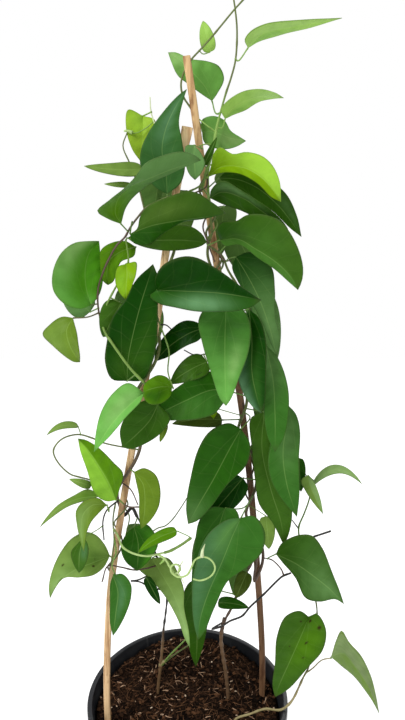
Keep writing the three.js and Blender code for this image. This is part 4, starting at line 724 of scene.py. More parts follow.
def settle() -> None:
    """Leaves edit mode and deselects everything."""
    if bpy.context.object and bpy.context.object.mode != "OBJECT":
        bpy.ops.object.mode_set(mode="OBJECT")
    bpy.ops.object.select_all(action="DESELECT")


def choose(*objects: bpy.types.Object) -> None:
    """Selects these objects alone and makes the last one active."""
    settle()
    for thing in objects:
        thing.select_set(True)
    bpy.context.view_layer.objects.active = objects[-1]


def applied(piece: bpy.types.Object, kind: str, **settings: object) -> None:
    """Adds a modifier of a kind with these settings to a piece and applies it."""
    choose(piece)
    modifier = piece.modifiers.new(kind.lower(), kind)
    for key, value in settings.items():
        setattr(modifier, key, value)
    bpy.ops.object.modifier_apply(modifier=modifier.name)


def close_ends() -> None:
    """Fills the open ends of the active tube and turns its faces outward."""
    bpy.ops.object.mode_set(mode="EDIT")
    bpy.ops.mesh.select_all(action="DESELECT")
    bpy.ops.mesh.select_mode(type="EDGE")
    bpy.ops.mesh.select_non_manifold()
    bpy.ops.mesh.fill_holes(sides=0)
    bpy.ops.mesh.select_all(action="SELECT")
    bpy.ops.mesh.normals_make_consistent(inside=False)
    bpy.ops.object.mode_set(mode="OBJECT")


def shaped_grid(
    name: str, across: int, along: int, place: Callable[[float, float], Vector], around: bool = False
) -> bpy.types.Object:
    """Adds a grid and moves its points to where a rule puts them.

    Args:
        name: The piece's name.
        across: Faces across.
        along: Faces along.
        place: Gives a point in millimetres for the shares across and along, both from 0 to 1.
        around: True if the two long edges meet, as on a tube.

    Returns:
        The shaped piece, in metres.
    """
    settle()
    bpy.ops.mesh.primitive_grid_add(x_subdivisions=across, y_subdivisions=along, size=1.0, calc_uvs=True)
    piece = bpy.context.object
    piece.name = piece.data.name = name
    for vertex in piece.data.vertices:
        vertex.co = place(vertex.co.x + 0.5, vertex.co.y + 0.5) * MM
    if around:
        bpy.ops.object.mode_set(mode="EDIT")
        bpy.ops.mesh.select_all(action="SELECT")
        bpy.ops.mesh.remove_doubles(threshold=1e-7)
        close_ends()
    return piece


def painted(piece: bpy.types.Object, name: str, colours: Sequence[Colour]) -> None:
    """Gives each point of a piece a colour, under an attribute's name."""
    layer = piece.data.color_attributes.new(name, "FLOAT_COLOR", "POINT")
    layer.data.foreach_set("color", [c for colour in colours for c in (*colour, 1.0)])


def merged(name: str, things: Sequence[bpy.types.Object]) -> bpy.types.Object:
    """Joins objects into one smooth-shaded piece under a new name."""
    choose(*things)
    if len(things) > 1:
        bpy.ops.object.join()
    piece = bpy.context.object
    piece.name = piece.data.name = name
    bpy.ops.object.shade_smooth()
    return piece


def attached(piece: bpy.types.Object, node: str) -> None:
    """Lets a piece stand for a node of the solids and reports it."""
    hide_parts(node)
    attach(piece, "root")
    LOG.info("%s: %d faces", piece.name, len(piece.data.polygons))


@dataclass
class Strand:
    """One round stem to be drawn: its centre line, and its radius and colour at a share of its length."""

    course: Course
    radius: Callable[[float], float]
    colour: Callable[[float], Colour]


def tubes(name: str, strands: Sequence[Strand], sides: int, step: float) -> bpy.types.Object:
    """Draws stems along their courses as one smooth piece, with a tone on each point.

    Args:
        name: The piece's name.
        strands: The stems, in millimetres.
        sides: How many sides each stem has.
        step: The distance between rings, in millimetres.
    """
    settle()
    curve = bpy.data.curves.new(name, "CURVE")
    curve.dimensions = "3D"
    curve.bevel_depth = MM
    curve.bevel_resolution = sides // 2 - 2
    tones = []
    for strand in strands:
        rings = max(3, round(strand.course.length / step))
        line = curve.splines.new("POLY")
        line.points.add(rings)
        for i, point in enumerate(line.points):
            share = i / rings
            point.co = (*(strand.course.at(share) * MM), 1.0)
            point.radius = strand.radius(share)
            tones.extend([strand.colour(share)] * sides)
    piece = bpy.data.objects.new(name, curve)
    bpy.context.scene.collection.objects.link(piece)
    choose(piece)
    bpy.ops.object.convert(target="MESH")
    piece = bpy.context.object
    painted(piece, "tone", tones)
    close_ends()
    bpy.ops.object.shade_smooth()
    return piece


# Shaders


class Wire:
    """A shader socket that Python expressions can be written with."""

    def __init__(self, finish: "Finish", socket: bpy.types.NodeSocket) -> None:
        """Wraps a socket of a finish's node tree."""
        self.finish, self.socket = finish, socket

    def _maths(self, operation: str, *values: "Wire | float") -> "Wire":
        """Adds a Math node."""
        return self.finish.node("ShaderNodeMath", {"operation": operation}, dict(enumerate(values)))

    def __add__(self, other: "Wire | float") -> "Wire":
        """Adds."""
        return self._maths("ADD", self, other)

    def __sub__(self, other: "Wire | float") -> "Wire":
        """Subtracts."""
        return self._maths("SUBTRACT", self, other)

    def __rsub__(self, other: float) -> "Wire":
        """Subtracts from a number."""
        return self._maths("SUBTRACT", other, self)

    def __mul__(self, other: "Wire | float") -> "Wire":
        """Multiplies."""
        return self._maths("MULTIPLY", self, other)

    def size(self) -> "Wire":
        """Drops the sign."""
        return self._maths("ABSOLUTE", self)

    def saw(self, period: float) -> "Wire":
        """Gives the distance to the nearest multiple of a period."""
        return self._maths("PINGPONG", self, period / 2)

    def above(self, low: float, high: float) -> "Wire":
        """Rises smoothly from 0 at low to 1 at high."""
        values = {"Value": self, "From Min": low, "From Max": high}
        return self.finish.node("ShaderNodeMapRange", {"interpolation_type": "SMOOTHSTEP"}, values)

    def below(self, low: float, high: float) -> "Wire":
        """Falls smoothly from 1 at low to 0 at high."""
        return 1 - self.above(low, high)


class Finish:
    """A material under construction: its node tree, its surface shader and the usual patterns."""

    def __init__(self, name: str, roughness: float, specular: float) -> None:
        """Starts a material: its roughness where nothing varies it, and how strongly it mirrors."""
        self.material = bpy.data.materials.new(name)
        self.material.use_nodes = True
        self.tree = self.material.node_tree
        self.shader = self.tree.nodes["Principled BSDF"]
        self.shader.inputs["Roughness"].default_value = roughness
        self.shader.inputs["Specular IOR Level"].default_value = specular
        self.place = self.node("ShaderNodeTexCoord", {}, {}, "Object")

    def node(self, kind: str, settings: dict, values: dict, output: str | int = 0) -> Wire:
        """Adds a node.

        Args:
            kind: The node's type.
            settings: Its settings, such as an operation or a ramp's stops.
            values: Values or wires for its inputs.
            output: The output that is given back.
        """
        made = self.tree.nodes.new(kind)
        for key, value in settings.items():
            if key == "stops":
                ramp = made.color_ramp.elements
                while len(ramp) < len(value):
                    ramp.new(0.5)
                for element, (where, colour) in zip(ramp, value):
                    element.position, element.color = where, (*colour, 1.0)
            else:
                setattr(made, key, value)
        for key, value in values.items():
            socket = made.inputs[key]
            if isinstance(value, Wire):
                self.tree.links.new(value.socket, socket)
            else:
                socket.default_value = value
        return Wire(self, made.outputs[output])

    def attribute(self, name: str, output: str) -> Wire:
        """Gives a value that the piece holds at each point."""
        return self.node("ShaderNodeAttribute", {"attribute_name": name}, {}, output)

    def part(self, vector: Wire, axis: str) -> Wire:
        """Gives one axis of a vector."""
        return self.node("ShaderNodeSeparateXYZ", {}, {"Vector": vector}, axis)

    def noise(self, scale: float, detail: float, rough: float = 0.55, place: Wire | None = None) -> Wire:
        """Gives a soft noise from 0 to 1."""
        values = {"Vector": place or self.place, "Scale": scale, "Detail": detail, "Roughness": rough}
        return self.node("ShaderNodeTexNoise", {}, values, "Fac")

    def stretched(self, x: float, y: float, z: float) -> Wire:
        """Gives the object's coordinates, scaled along each axis."""
        return self.node("ShaderNodeMapping", {}, {"Vector": self.place, "Scale": (x, y, z)})

    def blend(
        self, share: Wire | float, first: Wire | Colour, second: Wire | Colour, mode: str = "MIX"
    ) -> Wire:
        """Mixes two colours."""
        made = self.tree.nodes.new("ShaderNodeMix")
        made.data_type, made.blend_type = "RGBA", mode
        for key, value in ((0, share), (6, first), (7, second)):
            if isinstance(value, Wire):
                self.tree.links.new(value.socket, made.inputs[key])
            else:
                made.inputs[key].default_value = (*value, 1.0) if key else value
        return Wire(self, made.outputs[2])

    def shaded(self, share: Wire, first: Wire, tint: Colour) -> Wire:
        """Multiplies a colour by a tint where a share says so."""
        return self.blend(share, first, tint, "MULTIPLY")

    def feed(self, name: str, wire: Wire) -> None:
        """Leads a wire into the surface shader."""
        self.tree.links.new(wire.socket, self.shader.inputs[name])

    def bump(self, height: Wire, distance: float, strength: float = 1.0) -> None:
        """Leads a height in millimetres into the surface's normal."""
        values = {"Height": height, "Distance": distance * MM, "Strength": strength}
        self.feed("Normal", self.node("ShaderNodeBump", {}, values))


@dataclass(frozen=True)
class LeafFinish:
    """The skin of the leaves: their tone, a pale midrib, basal and side veins, mottling, painted shade in
    bands along the side veins and a satin gloss.
    """

    under: bool = False

    def material(self) -> bpy.types.Material:
        """Builds the material."""
        rough = 0.52 if self.under else 0.36
        finish = Finish("leaf_under" if self.under else "leaf_upper", rough, 0.05)
        tone = finish.attribute("tone", "Color")
        blade = finish.attribute("blade", "Vector")
        across, reach, share = (finish.part(blade, axis) for axis in "XYZ")
        out = across.size()
        wander = finish.noise(60.0, 2.0)
        midrib = out.below(0.15, 0.65) * share.below(0.7, 1.0)
        gap = (reach + wander * 5.0 - out * 0.75 + out * out * 0.01).saw(VEIN_SPACING)
        side = gap.below(0.1, 0.5) * out.above(0.4, 2.0) * share.above(0.12, 0.3) * share.below(0.8, 0.95)
        basal = (out + wander * 1.5 - 0.75 - reach * 0.34 + reach * reach * 0.0016).size().below(0.1, 0.55)
        basal = basal * share.below(0.4, 0.7)
        fan = (out - reach * 0.95).size().below(0.1, 0.5) * share.below(0.15, 0.35)
        veins = midrib * 0.42 + side * 0.07 + basal * 0.12 + fan * 0.08
        mottle = finish.noise(90.0, 4.0)
        fine = finish.noise(900.0, 2.0)
        # Painted shade: darker bands along the side veins, where the quilted blade dips.
        vein_band_shade = gap.below(0.0, 5.0) * out.above(1.0, 5.0) * share.above(0.1, 0.3)
        shaded = finish.shaded(mottle.above(0.35, 0.7) * 0.4, tone, (0.66, 0.72, 0.6))
        shaded = finish.shaded(vein_band_shade * 0.35, shaded, (0.72, 0.78, 0.66))
        pale = finish.blend(0.35, tone, (0.4, 0.6, 0.18))
        colour = finish.blend(veins, shaded, pale)
        if self.under:
            colour = finish.blend(0.3, colour, UNDER_TONE)
        finish.feed("Base Color", colour)
        finish.feed("Roughness", mottle * 0.14 + veins * 0.1 + rough - 0.05)
        lift = veins * (0.25 if self.under else -0.2) + fine * 0.05 + mottle * 0.3
        finish.bump(lift, 1.0, 0.7)
        return finish.material


@dataclass(frozen=True)
class StemFinish:
    """The skin of stems, petioles and twigs: their tone with fine bark streaks."""

    def material(self) -> bpy.types.Material:
        """Builds the material."""
        finish = Finish("stem_skin", 0.55, 0.35)
        tone = finish.attribute("tone", "Color")
        streak = finish.noise(260.0, 4.0, place=finish.stretched(1.0, 1.0, 0.25))
        blotch = finish.noise(70.0, 2.0)
        dark = finish.shaded(streak.above(0.45, 0.75) * 0.6, tone, (0.6, 0.58, 0.46))
        pale = finish.shaded(blotch.above(0.55, 0.8) * 0.3, dark, (1.3, 1.25, 1.15))
        finish.feed("Base Color", pale)
        finish.feed("Roughness", streak * 0.25 + 0.42)
        finish.bump(streak, 0.35)
        return finish.material


@dataclass(frozen=True)
class BambooFinish:
    """Split bamboo: long fibres, stains and dark edges, one colour above turn_high and a darker one below
    turn_low; on the left stake the paler top is painted light.
    """

    name: str
    upper_tone: Colour
    lower_tone: Colour
    turn_low: float
    turn_high: float

    def material(self) -> bpy.types.Material:
        """Builds the material."""
        finish = Finish(self.name, 0.6, 0.3)
        height = finish.part(finish.place, "Z")
        turn = finish.part(finish.node("ShaderNodeTexCoord", {}, {}, "UV"), "X")
        grain = finish.noise(900.0, 4.0, place=finish.stretched(1.0, 1.0, 0.03))
        split = finish.noise(420.0, 3.0, place=finish.stretched(1.0, 1.0, 0.02))
        blotch = finish.noise(26.0, 3.0, place=finish.stretched(1.0, 1.0, 0.5))
        speck = finish.noise(240.0, 2.0, place=finish.stretched(1.0, 1.0, 0.4))
        stain = finish.noise(90.0, 4.0, place=finish.stretched(1.0, 1.0, 0.35))
        wander = height + blotch * 0.12 - 0.06
        # Lighter above turn_high, darker below turn_low; on the left stake the pale top is painted light.
        body = finish.blend(wander.above(self.turn_low, self.turn_high), self.lower_tone, self.upper_tone)
        edge = (turn + stain * 0.06 - 0.03).saw(1.0).below(0.05, 0.12)
        for share, tint in (
            (edge * 0.75, (0.5, 0.36, 0.24)),
            (grain.above(0.4, 0.75) * 0.5, (0.6, 0.48, 0.36)),
            (split.above(0.5, 0.62) * 0.7, (0.5, 0.36, 0.26)),
            (speck.above(0.6, 0.8) * 0.5, (0.5, 0.36, 0.24)),
            (stain.above(0.54, 0.64) * 0.7, (0.42, 0.3, 0.22)),
        ):
            body = finish.shaded(share, body, tint)
        finish.feed("Base Color", body)
        finish.feed("Roughness", grain * 0.25 + 0.45)
        finish.bump(grain, 0.3)
        return finish.material


@dataclass(frozen=True)
class SoilFinish:
    """Damp potting mix: near-black peat with brown coir and pale dust."""

    def material(self) -> bpy.types.Material:
        """Builds the material."""
        finish = Finish("potting_soil", 0.95, 0.03)
        crumb = finish.noise(420.0, 5.0, 0.7)
        patch = finish.noise(28.0, 3.0)
        stops = (
            (0.34, display(6, 4, 3)), (0.5, display(27, 18, 12)), (0.62, display(60, 40, 27)),
            (0.76, display(112, 80, 56)),
        )
        colour = finish.node("ShaderNodeValToRGB", {"stops": stops}, {"Fac": crumb}, "Color")
        colour = finish.shaded(patch.above(0.4, 0.6) * 0.75, colour, (0.34, 0.34, 0.36))
        finish.feed("Base Color", colour)
        finish.feed("Roughness", crumb * 0.2 + 0.75)
        finish.bump(crumb, 1.4)
        return finish.material


@dataclass(frozen=True)
class LitterFinish:
    """Coir threads, bark chips and pale bits, each in its own tone."""

    def material(self) -> bpy.types.Material:
        """Builds the material."""
        finish = Finish("soil_litter", 0.9, 0.05)
        tone = finish.attribute("tone", "Color")
        streak = finish.noise(700.0, 3.0)
        finish.feed("Base Color", finish.shaded(streak.above(0.4, 0.7) * 0.5, tone, (0.5, 0.42, 0.36)))
        finish.bump(streak, 0.4)
        return finish.material


@dataclass(frozen=True)
class PotFinish:
    """Black moulded plastic with a faint grain, scuffs and patches of dust."""

    def material(self) -> bpy.types.Material:
        """Builds the material."""
        finish = Finish("nursery_pot_plastic", 0.42, 0.45)
        grain = finish.noise(1400.0, 2.0)
        dust = finish.noise(38.0, 4.0)
        scuff = finish.noise(160.0, 3.0, place=finish.stretched(1.0, 1.0, 0.15))
        colour = finish.blend(dust.above(0.45, 0.8) * 0.5, display(25, 27, 31), display(54, 54, 55))
        colour = finish.blend(scuff.above(0.62, 0.75) * 0.35, colour, display(86, 86, 86))
        finish.feed("Base Color", colour)
        finish.feed("Roughness", dust * 0.3 + 0.3)
        finish.bump(grain * 0.3 + scuff * 0.3, 0.25)
        return finish.material


# Sub-assemblies


@dataclass
class Blade:
    """One leaf blade's surface, worked out from its leaf."""

    leaf: Leaf
    base: Vector = field(init=False)
    along: Vector = field(init=False)
    side: Vector = field(init=False)
    face: Vector = field(init=False)
    length: float = field(init=False)
    lift: float = field(init=False)
    trace: tuple[Course, Course, Course] | None = field(init=False)

    def __post_init__(self) -> None:
        """Works out the blade's axes."""
        leaf = self.leaf
        self.base, tip = seen(leaf.base), seen(leaf.tip)
        facing = BACK_FACING if leaf.back else (EYE - self.base).normalized()
        self.along = tip - self.base
        self.length = self.along.length
        self.along.normalize()
        side = self.along.cross(facing).normalized()
        turn = math.radians(leaf.roll)
        self.side = side * math.cos(turn) + self.along.cross(side) * math.sin(turn)
        self.face = self.side.cross(self.along)
        self.lift = math.tan(math.radians(leaf.fold)) - BLADE_DROOP
        self.trace = None
        if leaf.trace:
            routes = (leaf.trace.left, leaf.trace.mid, leaf.trace.right)
            self.trace = tuple(
                Course([Vector((u, v, 0.0)) for u, v, *_ in (leaf.base, *route, leaf.tip)])
                for route in routes
            )

    def half_width(self, share: float, across: float) -> float:
        """Gives the width from the midrib to one edge at a share of the length, in millimetres."""
        if self.trace:
            edge = self.trace[2 if across > 0 else 0].at(share)
            return (edge - self.trace[1].at(share)).length * PIXEL
        rise = (share + BLADE_OPENING) / (BLADE_PEAK + BLADE_OPENING)
        fall = (1 - share) / (1 - BLADE_PEAK)
        rise_power = BLADE_TIP_POWER * BLADE_PEAK / (1 - BLADE_PEAK)
        return self.leaf.wide / 2 * rise**rise_power * fall**BLADE_TIP_POWER

    def midrib(self, share: float) -> Vector:
        """Gives the midrib's point at a share of the length."""
        if self.trace:
            return self.traced(share, 0.0)
        bow = 4 * share * (1 - share)
        ahead = self.base + self.along * (share * self.length)
        return ahead + self.face * (self.leaf.arch * bow) + self.side * (self.leaf.sway * bow)

    def traced(self, share: float, across: float) -> Vector:
        """Gives a point of a traced blade: its picture point, deepened by arch, roll and fold."""
        leaf = self.leaf
        centre = self.trace[1].at(share)
        spot = centre.lerp(self.trace[2 if across > 0 else 0].at(share), abs(across))
        slope = math.copysign(math.tan(math.radians(leaf.roll)), across) - self.lift
        depth = leaf.base[2] + (leaf.tip[2] - leaf.base[2]) * share - 4 * share * (1 - share) * leaf.arch
        return seen((spot.x, spot.y, depth + slope * (spot - centre).length))

    def station(self, share: float) -> Callable[[float], Vector]:
        """Gives the rule from a place across (-1 to 1) to its point, at a share of the blade's length."""
        leaf = self.leaf
        inner = min(0.98, max(0.02, share))
        ahead = (self.midrib(inner + 0.01) - self.midrib(inner - 0.01)).normalized()
        side = self.traced(inner, 1.0) - self.traced(inner, -1.0) if self.trace else self.side
        normal = side.cross(ahead).normalized()
        side = ahead.cross(normal)
        centre = self.midrib(share)
        sweep = BLADE_SWEEP * self.length * (1 - share) ** 5

        def place(across: float) -> Vector:
            """Places a point of this row."""
            out, half = abs(across), self.half_width(share, across)
            wave = BLADE_RIPPLE * min(1.0, half / 12) * out * out * math.sin(
                share * self.length * 0.16 + 1.9 * math.copysign(1.0, across) + leaf.base[0]
            )
            quilt = BLADE_QUILT * min(1.0, half / 10) * math.sin(math.pi * out) * math.cos(
                2 * math.pi * (share * self.length - 0.75 * out * half) / VEIN_SPACING
            )
            bulge = 0.25 * self.lift * half * out * (1 - out) * 2
            if self.trace:
                return self.traced(share, across) + normal * (wave + quilt + bulge)
            rise = half * self.lift * out + wave + quilt + bulge
            return centre + side * (across * half) + normal * rise + ahead * (out * sweep)

        return place

    def tone(self, share: float, across: float) -> Colour:
        """Gives the blade's colour at a place."""
        leaf = self.leaf
        colour = leaf.tone.value
        # Painted light: the halves' two tones set a lit half against a shaded one.
        if leaf.right:
            colour = mixed(colour, leaf.right.value, smooth(-0.06, 0.06, across))
        if leaf.left:
            colour = mixed(colour, leaf.left.value, smooth(-0.06, 0.06, -across))
        # Painted light: soft patches of painted sheen and painted shade.
        for lit_patch in leaf.painted_light:
            colour = mixed(colour, lit_patch.tone.value, lit_patch.weight(share, across))
        colour = mixed(colour, EDGE_TONE, 0.45 * smooth(0.9, 1.0, max(abs(across), share)))
        half = self.half_width(share, across)
        for spot_share, spot_across, size in leaf.spots:
            d = math.hypot((share - spot_share) * self.length, (across - spot_across) * half)
            colour = mixed(colour, SPOT_TONE, smooth(size, size * 0.5, d))
        return colour

    def build(self) -> bpy.types.Object:
        """Builds the blade as a thin sheet with its tone and its vein coordinates on each point."""
        grid = SMALL_GRID if self.leaf.wide < SMALL_LEAF else BLADE_GRID
        across, along = (count * self.leaf.fine for count in grid)
        shares = [i / along for i in range(along + 1)]
        rows = [min(0.9995, max(0.0005, 0.3 * v * v + 0.7 * v)) for v in shares]
        stations = [self.station(share) for share in rows]
        evens = [2 * i / across - 1 for i in range(across + 1)]
        outs = [math.copysign(abs(even) ** 0.9, even) for even in evens]

        def place(u: float, v: float) -> Vector:
            """Places a grid point on the blade."""
            return stations[round(v * along)](outs[round(u * across)])

        piece = shaped_grid("blade", across, along, place)
        tones, places = [], []
        for share in rows:
            for out in outs:
                tones.append(self.tone(share, out))
                places.extend((out * self.half_width(share, out), share * self.length, share))
        painted(piece, "tone", tones)
        layer = piece.data.attributes.new("blade", "FLOAT_VECTOR", "POINT")
        layer.data.foreach_set("vector", places)
        return piece


@dataclass
class Vine:
    """One plant: its rooted stem, its climb, its twigs and its leaves."""

    node: str
    wood: tuple[Spot, ...]
    wood_radius: float
    wood_bark: Bark
    stems: tuple[Stem, ...]
    sprays: dict[str, tuple[Leaf, ...]]
    stake: Course | None = None
    twines: tuple[Twine, ...] = ()
    wood_top: Bark = Bark.OLIVE
    wood_turn: float = 0.5

    def trunk(self) -> Course:
        """Gives the rooted stem's centre line."""
        spots = [seen(spot) for spot in self.wood]
        return Course([spots[0] - Vector((0.0, 0.0, ROOT_DEPTH)), *spots])

    def wood_thickness(self, share: float) -> float:
        """Gives the rooted stem's radius, knotted low down and thinner above, in millimetres."""
        knot = 0.14 * max(0.0, math.sin(share * 60)) ** 6 + 0.1 * math.sin(share * 131)
        thinning = 0.35 * smooth(self.wood_turn - 0.15, self.wood_turn + 0.1, share)
        return self.wood_radius * (0.95 + knot - thinning)

    def wood_colour(self, share: float) -> Colour:
        """Gives the rooted stem's colour at a share of its length."""
        turn = smooth(self.wood_turn - 0.1, self.wood_turn + 0.05, share)
        return mixed(self.wood_bark.value, self.wood_top.value, turn)

    def petiole(self, leaf: Leaf, courses: Sequence[Course]) -> Course:
        """Gives the centre line of a leaf's stalk."""
        via = [seen(spot) for spot in leaf.via]
        base = seen(leaf.base)
        joint = nearest(courses, via[0] if via else base)
        points = [joint, *via, base]
        joint -= (points[1] - joint).normalized() * ROOT_SINK
        return Course(points)

    def build(self, skin: bpy.types.Material, upper: bpy.types.Material, under: bpy.types.Material) -> None:
        """Builds the vine's pieces, in the materials of its stems and of its leaves' two faces."""
        trunk = self.trunk()
        courses = [trunk]
        strands = [Strand(trunk, self.wood_thickness, self.wood_colour)]
        if self.twines:
            climb = self.twines[0].course(self.stake)
            link = Course([trunk.at(0.96), trunk.at(1.0), *climb.points[:2]])
            strands.append(Strand(link, lambda s: TWINE_RADIUS * 1.05, lambda s: self.wood_top.value))
            courses.append(climb)
        for twine in self.twines:
            strands.append(Strand(
                twine.course(self.stake), lambda s, thick=twine.radius: thick * (1.1 - 0.25 * s),
                lambda s, bark=twine.bark: mixed(Bark.UMBER.value, bark.value, smooth(0.1, 0.6, s)),
            ))
        for stem in self.stems:
            spots = [seen(spot) for spot in stem.spots]
            spots[0] = nearest(courses, spots[0])
            courses.append(Course(spots))
            strands.append(Strand(courses[-1], stem.thickness, stem.colour))
        for leaf in (leaf for leaves in self.sprays.values() for leaf in leaves):
            strands.append(Strand(self.petiole(leaf, courses), leaf.stalk_radius, leaf.stalk_colour))
        stems = tubes(f"{self.node}_stems", strands, STEM_SIDES, RING_STEP)
        stems.data.materials.append(skin)
        attached(stems, self.node)
        for part, leaves in self.sprays.items():
            spray = merged(f"{self.node}_{part}", [Blade(leaf).build() for leaf in leaves])
            spray.data.materials.append(upper)
            spray.data.materials.append(under)
            applied(
                spray, "SOLIDIFY", thickness=BLADE_THICKNESS * MM, offset=0.0, use_even_offset=False,
                material_offset=1, material_offset_rim=0, use_rim=True,
            )
            attached(spray, self.node)


@dataclass
class Stake:
    """A strip of split bamboo, flat at the back, rounded in front and wider at its top by a flare."""

    node: str
    spots: tuple[Spot, ...]
    foot: Vector
    finish: BambooFinish
    flare: float = 0.0

    def course(self) -> Course:
        """Gives the strip's centre line, from its top down to its foot."""
        return Course([*(seen(spot) for spot in self.spots), self.foot])

    def build(self) -> None:
        """Builds the strip with its knots and slightly torn edges."""
        course = self.course()
        across = Vector((1.0, 0.0, 0.0))

        def place(u: float, v: float) -> Vector:
            """Places a grid point on the strip."""
            centre, ahead = course.at(v), course.heading(v)
            deep = across.cross(ahead).normalized()
            wide = ahead.cross(deep)
            turn = 2 * math.pi * u
            x, y = math.cos(turn), math.sin(turn)
            x = math.copysign(abs(x) ** 0.45, x) * STAKE_WIDTH / 2
            y = (abs(y) ** 0.7 if y > 0 else -(abs(y) ** 0.35)) * STAKE_DEPTH / 2
            reach = v * course.length
            knot = 0.22 * math.exp(-((reach % KNOT_SPACING - KNOT_SPACING / 2) / 3.5) ** 2)
            rough = 0.25 * noise.noise(Vector((x * 0.5, y * 0.5, reach * 0.06)))
            scale = 0.95 + knot * 0.1 + rough * 0.12
            splay = 1 + self.flare * smooth(0.04, 0.0, v)
            return centre + wide * (x * scale * splay) - deep * (y * scale)

        strip = shaped_grid(f"{self.node}_strip", 24, 150, place, around=True)
        corner = math.radians(50)
        applied(strip, "BEVEL", width=0.3 * MM, segments=1, limit_method="ANGLE", angle_limit=corner)
        choose(strip)
        bpy.ops.object.shade_smooth_by_angle(angle=math.radians(40))
        strip.data.materials.append(self.finish.material())
        attached(strip, self.node)


@dataclass
class Pot:
    """The round nursery pot, with its rim band, inner lip and drain holes."""

    segments: int = 144

    @staticmethod
    def wall(z: float) -> float:
        """Gives the outer wall's radius at a height, in millimetres."""
        return POT_FOOT_RADIUS + (POT_WALL_TOP_RADIUS - POT_FOOT_RADIUS) * z / POT_HEIGHT

    def profile(self) -> list[tuple[float, float]]:
        """Gives the section as radius and height, from the middle of the underside round to the inside."""
        band, rim, foot = POT_HEIGHT - RIM_BAND_HEIGHT, RIM_RADIUS, POT_FOOT_RADIUS
        wall = self.wall(band)
        under = [(0.01, 0.0), (40.0, 0.0), (foot - 3.0, 0.0), (foot - 0.9, 0.6), (foot, 2.2)]
        outer = [(self.wall(z), z) for z in range(6, 184, 16)]
        rim_band = [
            (wall - 0.1, band - 1.2), (rim - 1.2, band - 0.2), (rim - 0.3, band + 0.3), (rim, band + 1.2),
            (rim, band + 5.0), (rim, POT_HEIGHT - 1.4), (rim - 0.4, POT_HEIGHT - 0.4),
            (rim - 1.4, POT_HEIGHT),
        ]
        lip = [
            (rim - RIM_LIP + 1.0, POT_HEIGHT), (rim - RIM_LIP, POT_HEIGHT - 0.8),
            (wall - POT_WALL, band - 3.0),
        ]
        inner = [(self.wall(z) - POT_WALL, z) for z in range(180, 6, -16)]
        floor = [
            (foot - POT_WALL, POT_FLOOR + 1.0), (foot - POT_WALL - 2.0, POT_FLOOR), (40.0, POT_FLOOR),
            (0.01, POT_FLOOR),
        ]
        return under + outer + rim_band + lip + inner + floor

    def build(self) -> None:
        """Builds the pot and cuts its drain holes."""
        profile = self.profile()

        def place(u: float, v: float) -> Vector:
            """Places a grid point on the turned wall."""
            radius, z = profile[round(v * (len(profile) - 1))]
            turn = 2 * math.pi * u
            return Vector((radius * math.cos(turn), radius * math.sin(turn), z))

        pot = shaped_grid("pot_shell", self.segments, len(profile) - 1, place, around=True)
        for i in range(DRAIN_HOLES):
            turn = 2 * math.pi * i / DRAIN_HOLES
            settle()
            x, y = DRAIN_HOLE_RING * math.cos(turn) * MM, DRAIN_HOLE_RING * math.sin(turn) * MM
            bpy.ops.mesh.primitive_cylinder_add(
                vertices=32, radius=DRAIN_HOLE_RADIUS * MM, depth=12 * MM, location=(x, y, 0.0)
            )
            cutter = bpy.context.object
            applied(pot, "BOOLEAN", operation="DIFFERENCE", object=cutter, solver="EXACT")
            bpy.data.objects.remove(cutter)
        choose(pot)
        bpy.ops.object.shade_smooth_by_angle(angle=math.radians(35))
        pot.data.materials.clear()
        pot.data.materials.append(PotFinish().material())
        attached(pot, "pot")


